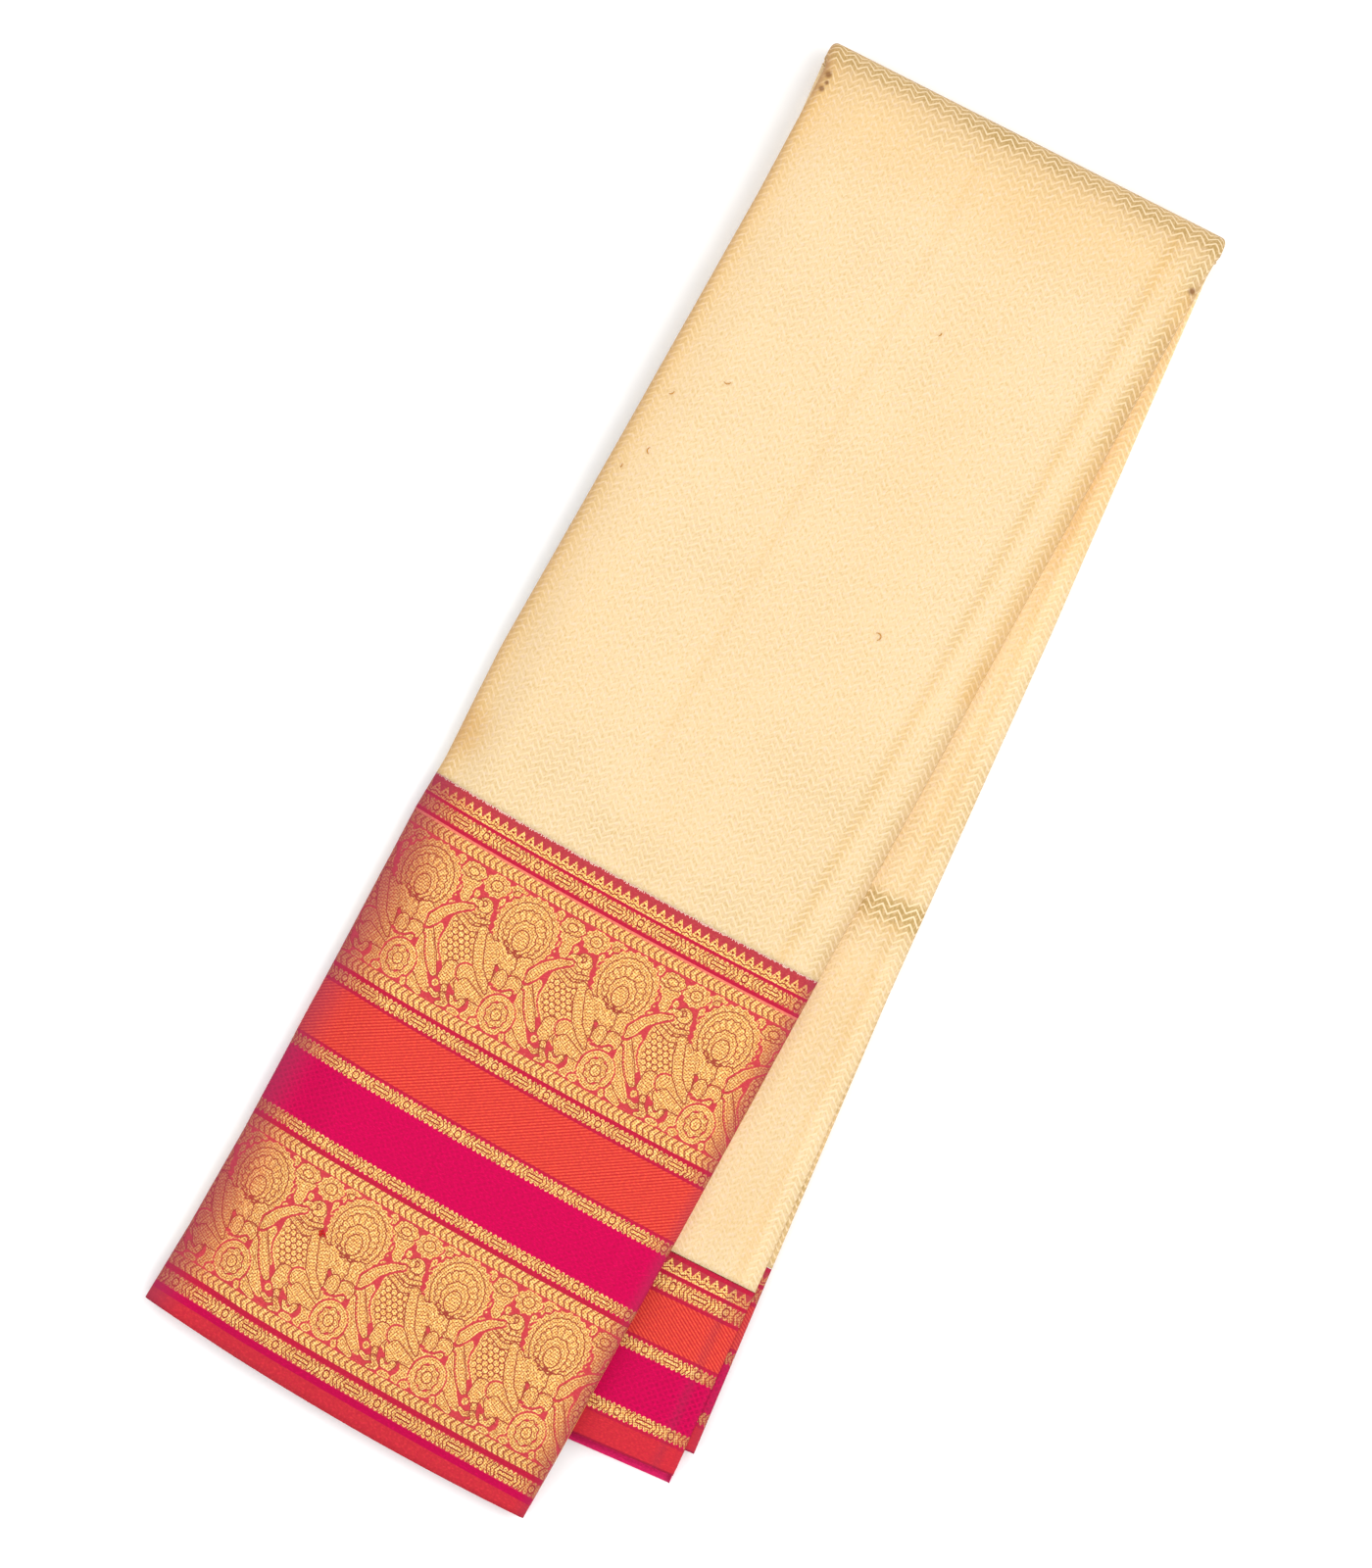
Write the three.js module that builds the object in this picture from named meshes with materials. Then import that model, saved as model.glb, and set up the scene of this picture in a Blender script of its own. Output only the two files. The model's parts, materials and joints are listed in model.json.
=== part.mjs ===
// A handloom silk sari, folded along its length into a long pack and then once across its width.
// It lies as a front leg on a back leg, joined by a round top fold.  The back leg leans to the
// right, so the front leg hangs over it at the left and at the hem, and settles to the surface.
//
// Millimetres.  X runs across the pack, Y from the hems up to the top fold, Z up.
// The origin is under the middle of the whole pack, on the surface that it lies on.

import * as THREE from 'three';

// ---- The pack ----------------------------------------------------------------------------------

const PACK_WIDTH = 182;        // one fold of the sari, edge to edge
const FRONT_LENGTH = 601;      // front hem to the crest of the top fold
const BACK_HEM_X = 46.8;       // middle of the back hem, from the middle of the front hem
const BACK_HEM_Y = 30.7;
const FRONT_HEM_Y = -1.1;      // middle of the straight line between the front hem's ends
const BACK_LEAN = 5.1;         // degrees that the back leg leans to the right
const FOLD_TILT = 1.9;         // degrees that the top fold rises to the right
const HEM_TILT = -1.6;         // degrees that the front hem falls to the right
const HEM_BOW = 3.4;           // how far the front hem's middle lies below its ends

// ---- The cloth ---------------------------------------------------------------------------------

const LEAF = 1.2;              // wall of one leaf that shows
const SEAM = 0.3;              // gap between pieces
const EASE = 0.15;             // more room for the hidden layers, where the leg bends as it falls
const LAYERS = 6.3;            // hidden layers of one leg, pressed together
const WIDE_BORDER = 250;       // woven border at the front hem
const NARROW_BORDER = 86;      // woven border at the back hem
const ROLL = 2.5;              // radius of the outer leaf's rolled side edges

// Hems that the folding left short of the longest one.
const LAYERS_HEM = 3;
const INNER_FRONT_HEM = 1.5;
const INNER_BACK_HEM = 4.6;
const SLIPPED_HEM = 16.5;

// ---- How the pack lies -------------------------------------------------------------------------

const SWELL = 0.23;            // how much thicker the springy top fold is than the legs
const SWELL_REACH = 80;        // length of each leg over which that swelling dies out
const FALL_START = 4;          // the front leg starts to fall this far outside the back leg
const FALL_REACH = 26;         // and lies on the surface this much further out

// Depths are counted outwards from the plane where the two legs meet.
const INNER_LEAF = SEAM / 2;
const SLIPPED_LEAF = INNER_LEAF + LEAF + SEAM;
const LAYERS_INSIDE = SLIPPED_LEAF + EASE;
const LAYERS_INSIDE_BACK = LAYERS_INSIDE + LEAF + SEAM;
const LAYERS_OUTSIDE = LAYERS_INSIDE + LAYERS;
const LEG = LAYERS_OUTSIDE + EASE + SEAM + LEAF;

const FOLD_RISE = 1 + SWELL;
const FOLD_AXIS_Y = FRONT_LENGTH - LEG * FOLD_RISE;
const BACK_LENGTH = FOLD_AXIS_Y - BACK_HEM_Y;
const HALF = PACK_WIDTH / 2;

// Fold groups at the side edges of the hidden layers, from the inner one out: how far each one
// stands out past the innermost at the left and the right, and how far back its hems lie.
const FOLD_GROUPS = [
  { left: 0.0, right: 0.4, hem: 1.2 },
  { left: 1.6, right: 0.9, hem: 0.0 },
  { left: 0.9, right: 1.7, hem: 2.4 },
  { left: -0.4, right: -0.4, hem: 0.8 },
];
const GROUP_STEPS = 3;
const GROUP_GROOVE = 0.5;      // depth of the grooves between the groups
const LAYERS_HALF = HALF - LEAF - SEAM;

// How far the side edges stand outside the pack's width, or inside it, along the pack.
const EDGE_ZONE = 0.3;         // share of the half width that moves with its edge
const EDGES = [
  { station: 0.00, left: 0.6, right: 0.0 },
  { station: 0.06, left: -1.0, right: 0.0 },
  { station: 0.14, left: -1.8, right: 0.0 },
  { station: 0.28, left: -1.0, right: 0.0 },
  { station: 0.40, left: 0.0, right: 0.0 },
  { station: 0.44, left: -1.0, right: 0.0 },
  { station: 0.53, left: 1.0, right: 0.0 },
  { station: 0.70, left: -0.8, right: 0.0 },
  { station: 0.90, left: -2.3, right: 0.0 },
  { station: 1.00, left: -1.8, right: 0.6 },
  { station: 1.20, left: 0.2, right: 1.6 },
  { station: 1.80, left: 0.2, right: 1.6 },
  { station: 2.00, left: 0.0, right: 0.4 },
  { station: 2.30, left: 0.0, right: 1.7 },
  { station: 2.60, left: 0.0, right: 0.8 },
  { station: 3.00, left: 0.0, right: 0.0 },
];

// The layer that slipped to the right in the back leg, by station.
const SLIPS = [
  { station: 2.00, slip: 0.0 },
  { station: 2.60, slip: 0.2 },
  { station: 2.84, slip: 2.6 },
  { station: 3.00, slip: 4.6 },
];

// ---- Materials ---------------------------------------------------------------------------------

const creamSilk = new THREE.MeshStandardMaterial({ color: 0xf9dfa9, roughness: 0.5, metalness: 0.1 });
const crimsonSilk = new THREE.MeshStandardMaterial({ color: 0xc8294f, roughness: 0.5, metalness: 0.1 });
const orangeSilk = new THREE.MeshStandardMaterial({ color: 0xe8483c, roughness: 0.5, metalness: 0.1 });
const layeredSilk = new THREE.MeshStandardMaterial({ color: 0xe6c98c, roughness: 0.6, metalness: 0.0 });

// ---- Where the cloth lies ----------------------------------------------------------------------

const radians = THREE.MathUtils.degToRad;
const mix = THREE.MathUtils.lerp;
const smooth = (value) => THREE.MathUtils.smoothstep(value, 0, 1);

/** The value of `column` in a table of rows sorted by station, straight between the rows. */
function tableValue(rows, column, station) {
  const after = rows.findIndex((row) => row.station >= station);
  if (after === 0) {
    return rows[0][column];
  }
  if (after < 0) {
    return rows[rows.length - 1][column];
  }
  const low = rows[after - 1];
  const high = rows[after];
  return mix(low[column], high[column], (station - low.station) / (high.station - low.station));
}

/** A point `across` mm from the middle of a straight line through `middle`, turned by `tilt`. */
function onLine(middle, tilt, across) {
  const direction = new THREE.Vector2(Math.cos(radians(tilt)), Math.sin(radians(tilt)));
  return direction.multiplyScalar(across).add(middle);
}

const frontHemMiddle = new THREE.Vector2(0, FRONT_HEM_Y);
const foldMiddle = new THREE.Vector2(0, FOLD_AXIS_Y);
const backHemMiddle = new THREE.Vector2(BACK_HEM_X, BACK_HEM_Y);

/** Seen from above: a point of the front hem, which bows down in the middle. */
function frontHem(across) {
  const point = onLine(frontHemMiddle, HEM_TILT, across);
  point.y -= HEM_BOW * (1 - (across / HALF) ** 2);
  return point;
}

/** How far the front leg has fallen at a point of the plan, from where the back leg ends. */
function fall(point) {
  const towardsFold = new THREE.Vector2(-Math.sin(radians(BACK_LEAN)), Math.cos(radians(BACK_LEAN)));
  const pastHem = -point.clone().sub(backHemMiddle).dot(towardsFold);
  const top = onLine(foldMiddle, FOLD_TILT, -HALF);
  const bottom = onLine(backHemMiddle, BACK_LEAN, -HALF);
  const edge = bottom.clone().sub(top).normalize();
  const outward = new THREE.Vector2(edge.y, -edge.x);
  const pastSide = point.clone().sub(top).dot(outward);
  const outside = Math.hypot(Math.max(0, pastHem), Math.max(0, pastSide));
  return (LEG + INNER_LEAF) * smooth((outside - FALL_START) / FALL_REACH);
}

/**
 * The place of the cloth.  Stations 0 to 1 run up the front leg from hem to fold, 1 to 2 go round
 * the top fold, and 2 to 3 run down the back leg to its hem.  `across` counts from the pack's
 * middle line and `depth` outwards from the plane where the legs meet.
 */
function clothPoint(station, across, depth) {
  const side = across < 0 ? 'left' : 'right';
  const nearEdge = smooth(1 - (1 - Math.abs(across) / HALF) / EDGE_ZONE);
  const bulge = tableValue(EDGES, side, station) * nearEdge;
  const width = across + Math.sign(across) * bulge;
  const fold = onLine(foldMiddle, FOLD_TILT, width);
  if (station <= 1) {
    const plan = frontHem(width).lerp(fold, station);
    const swell = 1 + SWELL * smooth(1 - (1 - station) * FOLD_AXIS_Y / SWELL_REACH);
    return new THREE.Vector3(plan.x, plan.y, (LEG + depth) * swell - fall(plan));
  }
  if (station < 2) {
    const turn = Math.PI * (station - 1);
    const reach = depth * FOLD_RISE * Math.sin(turn);
    const height = (LEG + depth * Math.cos(turn)) * FOLD_RISE;
    return new THREE.Vector3(
      fold.x - reach * Math.sin(radians(FOLD_TILT)),
      fold.y + reach * Math.cos(radians(FOLD_TILT)),
      height,
    );
  }
  const plan = fold.lerp(onLine(backHemMiddle, BACK_LEAN, width), station - 2);
  const swell = 1 + SWELL * smooth(1 - (station - 2) * BACK_LENGTH / SWELL_REACH);
  return new THREE.Vector3(plan.x, plan.y, (LEG - depth) * swell);
}

// ---- Stations ----------------------------------------------------------------------------------

const frontStation = (fromHem) => fromHem / FOLD_AXIS_Y;
const backStation = (fromHem) => 3 - fromHem / BACK_LENGTH;

// Distances from the front hem where the falling border is bent, and along the rest of the leg.
const BORDER_ROWS = [3, 7, 13, 20, 27, 35, 43, 55, 95, 145, 195];
const FRONT_ROWS = [310, 380, 450];
const SWELL_ROWS = [0.75, 0.5, 0.25];
const BACK_STATIONS = [2.35, 2.6];
const SLIPPED_STATION = 2.75;
const TURN_STEPS = 8;
const CREST = 1.5;

const frontRows = [
  ...FRONT_ROWS.map(frontStation),
  1 - SWELL_REACH / FOLD_AXIS_Y,
  ...SWELL_ROWS.map((share) => 1 - share * SWELL_REACH / FOLD_AXIS_Y),
];
const turnRows = Array.from({ length: TURN_STEPS - 1 }, (_, step) => 1 + (step + 1) / TURN_STEPS);
const backRows = [
  ...SWELL_ROWS.map((share) => 2 + (1 - share) * SWELL_REACH / BACK_LENGTH),
  2 + SWELL_REACH / BACK_LENGTH,
  ...BACK_STATIONS,
];
const borderRows = BORDER_ROWS.map(frontStation);

// Places across the pack where its cloth is bent, closer together at the left, where it falls.
const FLAT_HALF = HALF - ROLL;
const ACROSS = [-FLAT_HALF, -80, -71, -62, -53, -44, -34, -22, 0, 35, 65, FLAT_HALF];
const ROLL_TURNS = [30, 60, 90];

// ---- Solids ------------------------------------------------------------------------------------

/**
 * A closed slab: the grid points of a box's six faces, each moved to `place(i, j, k)`, with i
 * along the cloth, j across it and k outwards through it.
 */
function slab(rows, columns, levels, place) {
  const positions = [];
  const numbers = new Map();
  const node = (i, j, k) => {
    const key = `${i},${j},${k}`;
    if (!numbers.has(key)) {
      numbers.set(key, positions.length / 3);
      positions.push(...place(i, j, k).toArray());
    }
    return numbers.get(key);
  };
  const triangles = [];
  const grid = (first, second, at) => {
    for (let p = 0; p < first; p += 1) {
      for (let q = 0; q < second; q += 1) {
        triangles.push(at(p, q), at(p + 1, q), at(p, q + 1));
        triangles.push(at(p + 1, q), at(p + 1, q + 1), at(p, q + 1));
      }
    }
  };
  const [I, J, K] = [rows - 1, columns - 1, levels - 1];
  grid(J, I, (j, i) => node(i, j, K));
  grid(I, J, (i, j) => node(i, j, 0));
  grid(I, K, (i, k) => node(i, J, k));
  grid(K, I, (k, i) => node(i, 0, k));
  grid(K, J, (k, j) => node(I, j, k));
  grid(J, K, (j, k) => node(0, j, k));
  const geometry = new THREE.BufferGeometry();
  geometry.setAttribute('position', new THREE.Float32BufferAttribute(positions, 3));
  geometry.setIndex(triangles);
  geometry.computeVertexNormals();
  return geometry;
}

const sari = new THREE.Group();

function addPiece(name, geometry, material) {
  const mesh = new THREE.Mesh(geometry, material);
  mesh.name = name;
  sari.add(mesh);
}

/** One stretch of the outer leaf, whose side edges roll over the layers inside it. */
function outerLeaf(stations) {
  const columns = [
    ...ROLL_TURNS.map((turn) => ({ middle: -FLAT_HALF, turn: -turn })).reverse(),
    ...ACROSS.map((middle) => ({ middle, turn: 0 })),
    ...ROLL_TURNS.map((turn) => ({ middle: FLAT_HALF, turn })),
  ];
  return slab(stations.length, columns.length, 2, (i, j, k) => {
    const radius = k === 0 ? ROLL - LEAF : ROLL;
    const { middle, turn } = columns[j];
    const across = middle + radius * Math.sin(radians(turn));
    return clothPoint(stations[i], across, LEG - ROLL + radius * Math.cos(radians(turn)));
  });
}

/** One stretch of a flat leaf, its inner face at depth `inside`, slipped sideways by `slip`. */
function flatLeaf(stations, inside, slip = () => 0) {
  const columns = [-HALF, ...ACROSS, HALF];
  return slab(stations.length, columns.length, 2, (i, j, k) => (
    clothPoint(stations[i], columns[j] + slip(stations[i]), inside + k * LEAF)
  ));
}

/** All hidden layers of both legs, round at each fold group along their side edges and hems. */
function hiddenLayers(stations) {
  const columns = [-LAYERS_HALF, ...ACROSS, LAYERS_HALF];
  const levels = FOLD_GROUPS.length * GROUP_STEPS + 1;
  const last = stations.length - 1;
  const groupOf = (k) => FOLD_GROUPS[Math.min(Math.floor(k / GROUP_STEPS), FOLD_GROUPS.length - 1)];
  const groove = (k) => (k % GROUP_STEPS === 0 ? GROUP_GROOVE : 0);
  return slab(stations.length, columns.length, levels, (i, j, k) => {
    const group = groupOf(k);
    const hem = groove(k) + group.hem;
    let station = stations[i];
    if (i === 0) {
      station += hem / FOLD_AXIS_Y;
    }
    if (i === last) {
      station -= hem / BACK_LENGTH;
    }
    let across = columns[j];
    if (j === 0) {
      across -= group.left - groove(k);
    }
    if (j === columns.length - 1) {
      across += group.right - groove(k);
    }
    const pastCrest = smooth((station - CREST) / (2 - CREST));
    const inside = mix(LAYERS_INSIDE, LAYERS_INSIDE_BACK, pastCrest);
    return clothPoint(station, across, mix(inside, LAYERS_OUTSIDE, k / (levels - 1)));
  });
}

// ---- The sari ----------------------------------------------------------------------------------

const seamShare = SEAM / FOLD_AXIS_Y / 2;
const wideJoint = frontStation(WIDE_BORDER);
const narrowJoint = backStation(NARROW_BORDER);
const crownSeam = SEAM / (LEG * FOLD_RISE * Math.PI);

addPiece('outer_leaf_front', outerLeaf([wideJoint + seamShare, ...frontRows, 1]), creamSilk);
addPiece('wide_border', outerLeaf([0, ...borderRows, wideJoint - seamShare]), crimsonSilk);
addPiece('outer_leaf_crown', outerLeaf([1 + crownSeam, ...turnRows, 2 - crownSeam]), creamSilk);
addPiece('outer_leaf_under', outerLeaf([2, ...backRows, narrowJoint - seamShare]), creamSilk);
addPiece('under_border', outerLeaf([narrowJoint + seamShare, 3]), crimsonSilk);

addPiece(
  'inner_leaf_front',
  flatLeaf([wideJoint + seamShare, ...frontRows, 1, ...turnRows, 2 - seamShare], INNER_LEAF),
  creamSilk,
);
addPiece(
  'inner_wide_border',
  flatLeaf([frontStation(INNER_FRONT_HEM), ...borderRows, wideJoint - seamShare], INNER_LEAF),
  crimsonSilk,
);
addPiece(
  'inner_leaf_back',
  flatLeaf([2 + seamShare, ...backRows, narrowJoint - seamShare], INNER_LEAF),
  creamSilk,
);
addPiece(
  'narrow_border',
  flatLeaf([narrowJoint + seamShare, backStation(INNER_BACK_HEM)], INNER_LEAF),
  orangeSilk,
);

const slipAt = (station) => tableValue(SLIPS, 'slip', station);
const slippedJoint = backStation(NARROW_BORDER + SLIPPED_HEM - INNER_BACK_HEM);
addPiece(
  'slipped_leaf',
  flatLeaf([2 + seamShare, ...backRows, SLIPPED_STATION, slippedJoint - seamShare], SLIPPED_LEAF, slipAt),
  creamSilk,
);
addPiece(
  'slipped_border',
  flatLeaf([slippedJoint + seamShare, backStation(SLIPPED_HEM)], SLIPPED_LEAF, slipAt),
  orangeSilk,
);

// The hidden layers begin where the leaves have their first bend, so that row is left out.
const legRows = [...borderRows.slice(1), wideJoint, ...frontRows];
const layersRows = [...legRows, 1, ...turnRows, 2, ...backRows];
addPiece(
  'folded_layers',
  hiddenLayers([frontStation(LAYERS_HEM), ...layersRows, backStation(LAYERS_HEM)]),
  layeredSilk,
);

// The middle of the whole pack stands over the origin, and the lowest cloth lies at height 0.
const box = new THREE.Box3().setFromObject(sari);
const middle = box.getCenter(new THREE.Vector3());
sari.position.set(-middle.x, -middle.y, -box.min.z);

export default sari;
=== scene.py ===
# %% [markdown]
# # A handloom silk sari, folded into a pack
# A sari is one unsewn length of cloth, about six metres long and 1.2 metres wide.  This one is
# folded along its length into a pack as wide as a hand span, and then once across its width.  So
# it lies as a front leg on a back leg, with a round fold between them at the top.  The packed
# model gives every leaf its place.  This script dresses each of them in real cloth: thin shells
# with soft creases, woven patterns in the materials, and a stack of folds between the leaves.

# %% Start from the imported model
import json
import math

import bpy
import numpy as np
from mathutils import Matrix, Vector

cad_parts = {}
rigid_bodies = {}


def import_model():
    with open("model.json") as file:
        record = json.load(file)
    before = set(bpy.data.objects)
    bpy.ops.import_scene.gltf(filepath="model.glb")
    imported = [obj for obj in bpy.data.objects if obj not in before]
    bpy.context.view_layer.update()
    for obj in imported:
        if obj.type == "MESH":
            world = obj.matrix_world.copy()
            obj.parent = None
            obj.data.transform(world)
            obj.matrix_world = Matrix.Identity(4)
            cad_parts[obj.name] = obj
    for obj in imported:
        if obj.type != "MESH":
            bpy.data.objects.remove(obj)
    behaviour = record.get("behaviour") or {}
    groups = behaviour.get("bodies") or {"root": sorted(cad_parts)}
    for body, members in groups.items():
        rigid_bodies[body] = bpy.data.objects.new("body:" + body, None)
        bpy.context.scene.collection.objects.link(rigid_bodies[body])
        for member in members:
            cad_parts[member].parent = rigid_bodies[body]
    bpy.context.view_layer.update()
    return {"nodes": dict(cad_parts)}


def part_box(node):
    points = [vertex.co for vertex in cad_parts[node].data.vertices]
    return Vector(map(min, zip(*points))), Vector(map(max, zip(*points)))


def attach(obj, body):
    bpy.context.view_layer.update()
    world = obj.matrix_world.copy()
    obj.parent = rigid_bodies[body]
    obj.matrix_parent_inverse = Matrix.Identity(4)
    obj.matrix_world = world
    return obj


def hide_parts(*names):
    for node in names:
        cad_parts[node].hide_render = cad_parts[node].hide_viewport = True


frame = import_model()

scene = bpy.context.scene
print("nodes:", ", ".join(sorted(frame["nodes"])))

# %% [markdown]
# ## Camera, floor and light
# Cloth that is sold folded is pictured from straight above on a white table, under light so soft
# that it leaves hardly a shadow.  A long lens keeps the edges straight.  One large lamp stands a
# little to the right, so the cloth's left edges, which turn away from it, come out darker.

# %% Camera
LENS = 180
CAMERA_AT = (-0.0209, -0.0022, 3.275)
CAMERA_TURN = 28.75  # degrees, as the pack lies across the view

camera = bpy.data.objects.new("camera", bpy.data.cameras.new("camera"))
camera.data.lens = LENS
camera.data.sensor_width = 36
camera.location = CAMERA_AT
camera.rotation_euler = (0, 0, math.radians(CAMERA_TURN))
scene.collection.objects.link(camera)
scene.camera = camera


# %% The one function that adds a node
def lay(tree, kind, *inputs, out=0, **settings):
    """Add one node to a tree.  `kind` is its type, and after a space its operation, if it has one.
    Other settings are set by name.  Each input is a number, a colour or another node's output, in
    the order of the sockets, or all in one dictionary by socket name.  None leaves a socket as it
    is.  Returns the node's output number `out`, or a list of outputs where `out` is a slice."""
    kind, _, operation = kind.partition(" ")
    node = tree.nodes.new("ShaderNode" + kind)
    if operation:
        node.operation = operation
    for name, value in settings.items():
        setattr(node, name, value)
    if inputs and isinstance(inputs[0], dict):
        pairs = [(node.inputs[name], value) for name, value in inputs[0].items()]
    else:
        pairs = zip(node.inputs, inputs)
    for socket, value in pairs:
        if isinstance(value, bpy.types.NodeSocket):
            tree.links.new(value, socket)
        elif value is not None:
            socket.default_value = value
    return node.outputs[out] if node.outputs else None


def linear(colour):
    """An sRGB colour such as "#FDE3AE" as linear red, green, blue and alpha.  Each channel c is
    c/12.92 below 0.04045, and ((c + 0.055)/1.055) to the power 2.4 above it."""
    channels = [int(colour[i:i + 2], 16) / 255 for i in (1, 3, 5)]
    return tuple(c / 12.92 if c < 0.04045 else ((c + 0.055) / 1.055) ** 2.4 for c in channels) + (1,)


def new_material(name):
    """An empty material with its node tree, for `lay` to fill."""
    material = bpy.data.materials.new(name)
    material.use_nodes = True
    material.node_tree.nodes.clear()
    return material, material.node_tree


# %% Floor and light
FLOOR_HALF = 3.0
FLOOR_BELOW = 0.0002

floor_mesh = bpy.data.meshes.new("floor")
corners = [(x, y, -FLOOR_BELOW) for x, y in ((-1, -1), (1, -1), (1, 1), (-1, 1))]
floor_mesh.from_pydata([(x * FLOOR_HALF, y * FLOOR_HALF, z) for x, y, z in corners], [], [(0, 1, 2, 3)])
floor = bpy.data.objects.new("floor", floor_mesh)
scene.collection.objects.link(floor)

paper, tree = new_material("white paper table")
grain = lay(tree, "TexNoise", lay(tree, "TexCoord", out=3), None, 40.0)
shade = lay(tree, "MixRGB", grain, linear("#F8F8F8"), linear("#FCFCFC"))
surface = lay(tree, "BsdfPrincipled", {"Base Color": shade, "Roughness": 0.9, "Specular IOR Level": 0.1})
lay(tree, "OutputMaterial", surface)
floor_mesh.materials.append(paper)

world = bpy.data.worlds.new("pale room")
world.use_nodes = True
world.node_tree.nodes["Background"].inputs["Color"].default_value = (1, 1, 1, 1)
world.node_tree.nodes["Background"].inputs["Strength"].default_value = 1.09
scene.world = world

LAMPS = [
    # name, place, size, power in watts
    ("large soft lamp at the right", (0.95, 0.55, 1.7), 1.3, 16.0),
    ("weak lamp at the left", (-1.1, -0.5, 1.5), 1.2, 5.0),
]
for name, place, size, power in LAMPS:
    lamp = bpy.data.objects.new(name, bpy.data.lights.new(name, "AREA"))
    lamp.data.size = size
    lamp.data.energy = power
    lamp.location = place
    lamp.rotation_euler = (-lamp.location).to_track_quat("-Z", "Y").to_euler()
    scene.collection.objects.link(lamp)
scene.view_settings.view_transform = "Standard"
print("camera", LENS, "mm at", CAMERA_AT)

# %% [markdown]
# ## Where the cloth lies
# The model's formula is repeated here as numpy, so every shell lies on its solid.  Station 0 is
# the front hem, 1 and 2 are the two sides of the round top fold, and 3 is the back hem.  Depth is
# counted outwards from the plane between the legs.  A cloth simulation would let the pack creep
# out of its measured outline, and a formula keeps it, so the shape is worked out.

# %% The pack's measures, in millimetres
ORIGIN = (24.1823, 299.5026)     # the middle of the whole pack, from the middle of the front hem
HALF = 91.0
BACK_HEM = (46.8, 30.7)
FRONT_HEM_Y = -1.1
HEM_BOW = 3.4
BACK_LEAN, FOLD_TILT, HEM_TILT = 5.1, 1.9, -1.6
SWELL, SWELL_REACH = 0.23, 80
FALL_START, FALL_REACH = 4, 26
INNER, SLIPPED = 0.15, 1.65      # depths of the faces that show
LAYERS_FRONT, LAYERS_BACK, LAYERS_OUT = 1.80, 3.30, 8.10
LEG = 9.75
RISE = 1 + SWELL
FOLD_Y = 601 - LEG * RISE
BACK_LENGTH = FOLD_Y - BACK_HEM[1]
TURN_LENGTH = math.pi * LEG * RISE
WIDE, NARROW = 250.0, 86.0
THREAD = 0.45                    # one leaf of silk brocade

# How far the side edges stand out, by station: (station, left, right).
EDGES = np.array([
    (0, .6, 0), (.06, -1, 0), (.14, -1.8, 0), (.28, -1, 0), (.40, 0, 0), (.44, -1, 0), (.53, 1, 0),
    (.70, -.8, 0), (.90, -2.3, 0), (1, -1.8, .6), (1.2, .2, 1.6), (1.8, .2, 1.6), (2, 0, .4),
    (2.3, 0, 1.7), (2.6, 0, .8), (3, 0, 0),
])
SLIPS = np.array([(2, 0), (2.6, .2), (2.84, 2.6), (3, 4.6)])


# %% Soft steps, tilted lines and the fall of the front leg
def soft(t):
    """A soft step, 3t² - 2t³, with t held between 0 and 1."""
    t = np.clip(t, 0, 1)
    return t * t * (3 - 2 * t)


def on_line(middle, tilt, across):
    """The line's middle plus `across` times its direction, for a line turned by `tilt` degrees."""
    turn = math.radians(tilt)
    return middle[0] + across * math.cos(turn), middle[1] + across * math.sin(turn)


def fallen(x, y):
    """How far the front leg has fallen: a soft step of the distance outside the back leg, from
    none at FALL_START to the whole height of the leg at FALL_START + FALL_REACH."""
    lean = math.radians(BACK_LEAN)
    past_hem = (x - BACK_HEM[0]) * math.sin(lean) - (y - BACK_HEM[1]) * math.cos(lean)
    top = np.array(on_line((0, FOLD_Y), FOLD_TILT, -HALF))
    edge = np.array(on_line(BACK_HEM, BACK_LEAN, -HALF)) - top
    edge /= np.hypot(*edge)
    past_side = (x - top[0]) * edge[1] - (y - top[1]) * edge[0]
    outside = np.hypot(np.maximum(0, past_hem), np.maximum(0, past_side))
    return (LEG + INNER) * soft((outside - FALL_START) / FALL_REACH)


print("the front leg's hem has fallen", np.round(fallen(np.array([-80, 0, 80]), 0.0), 2), "mm")


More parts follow.
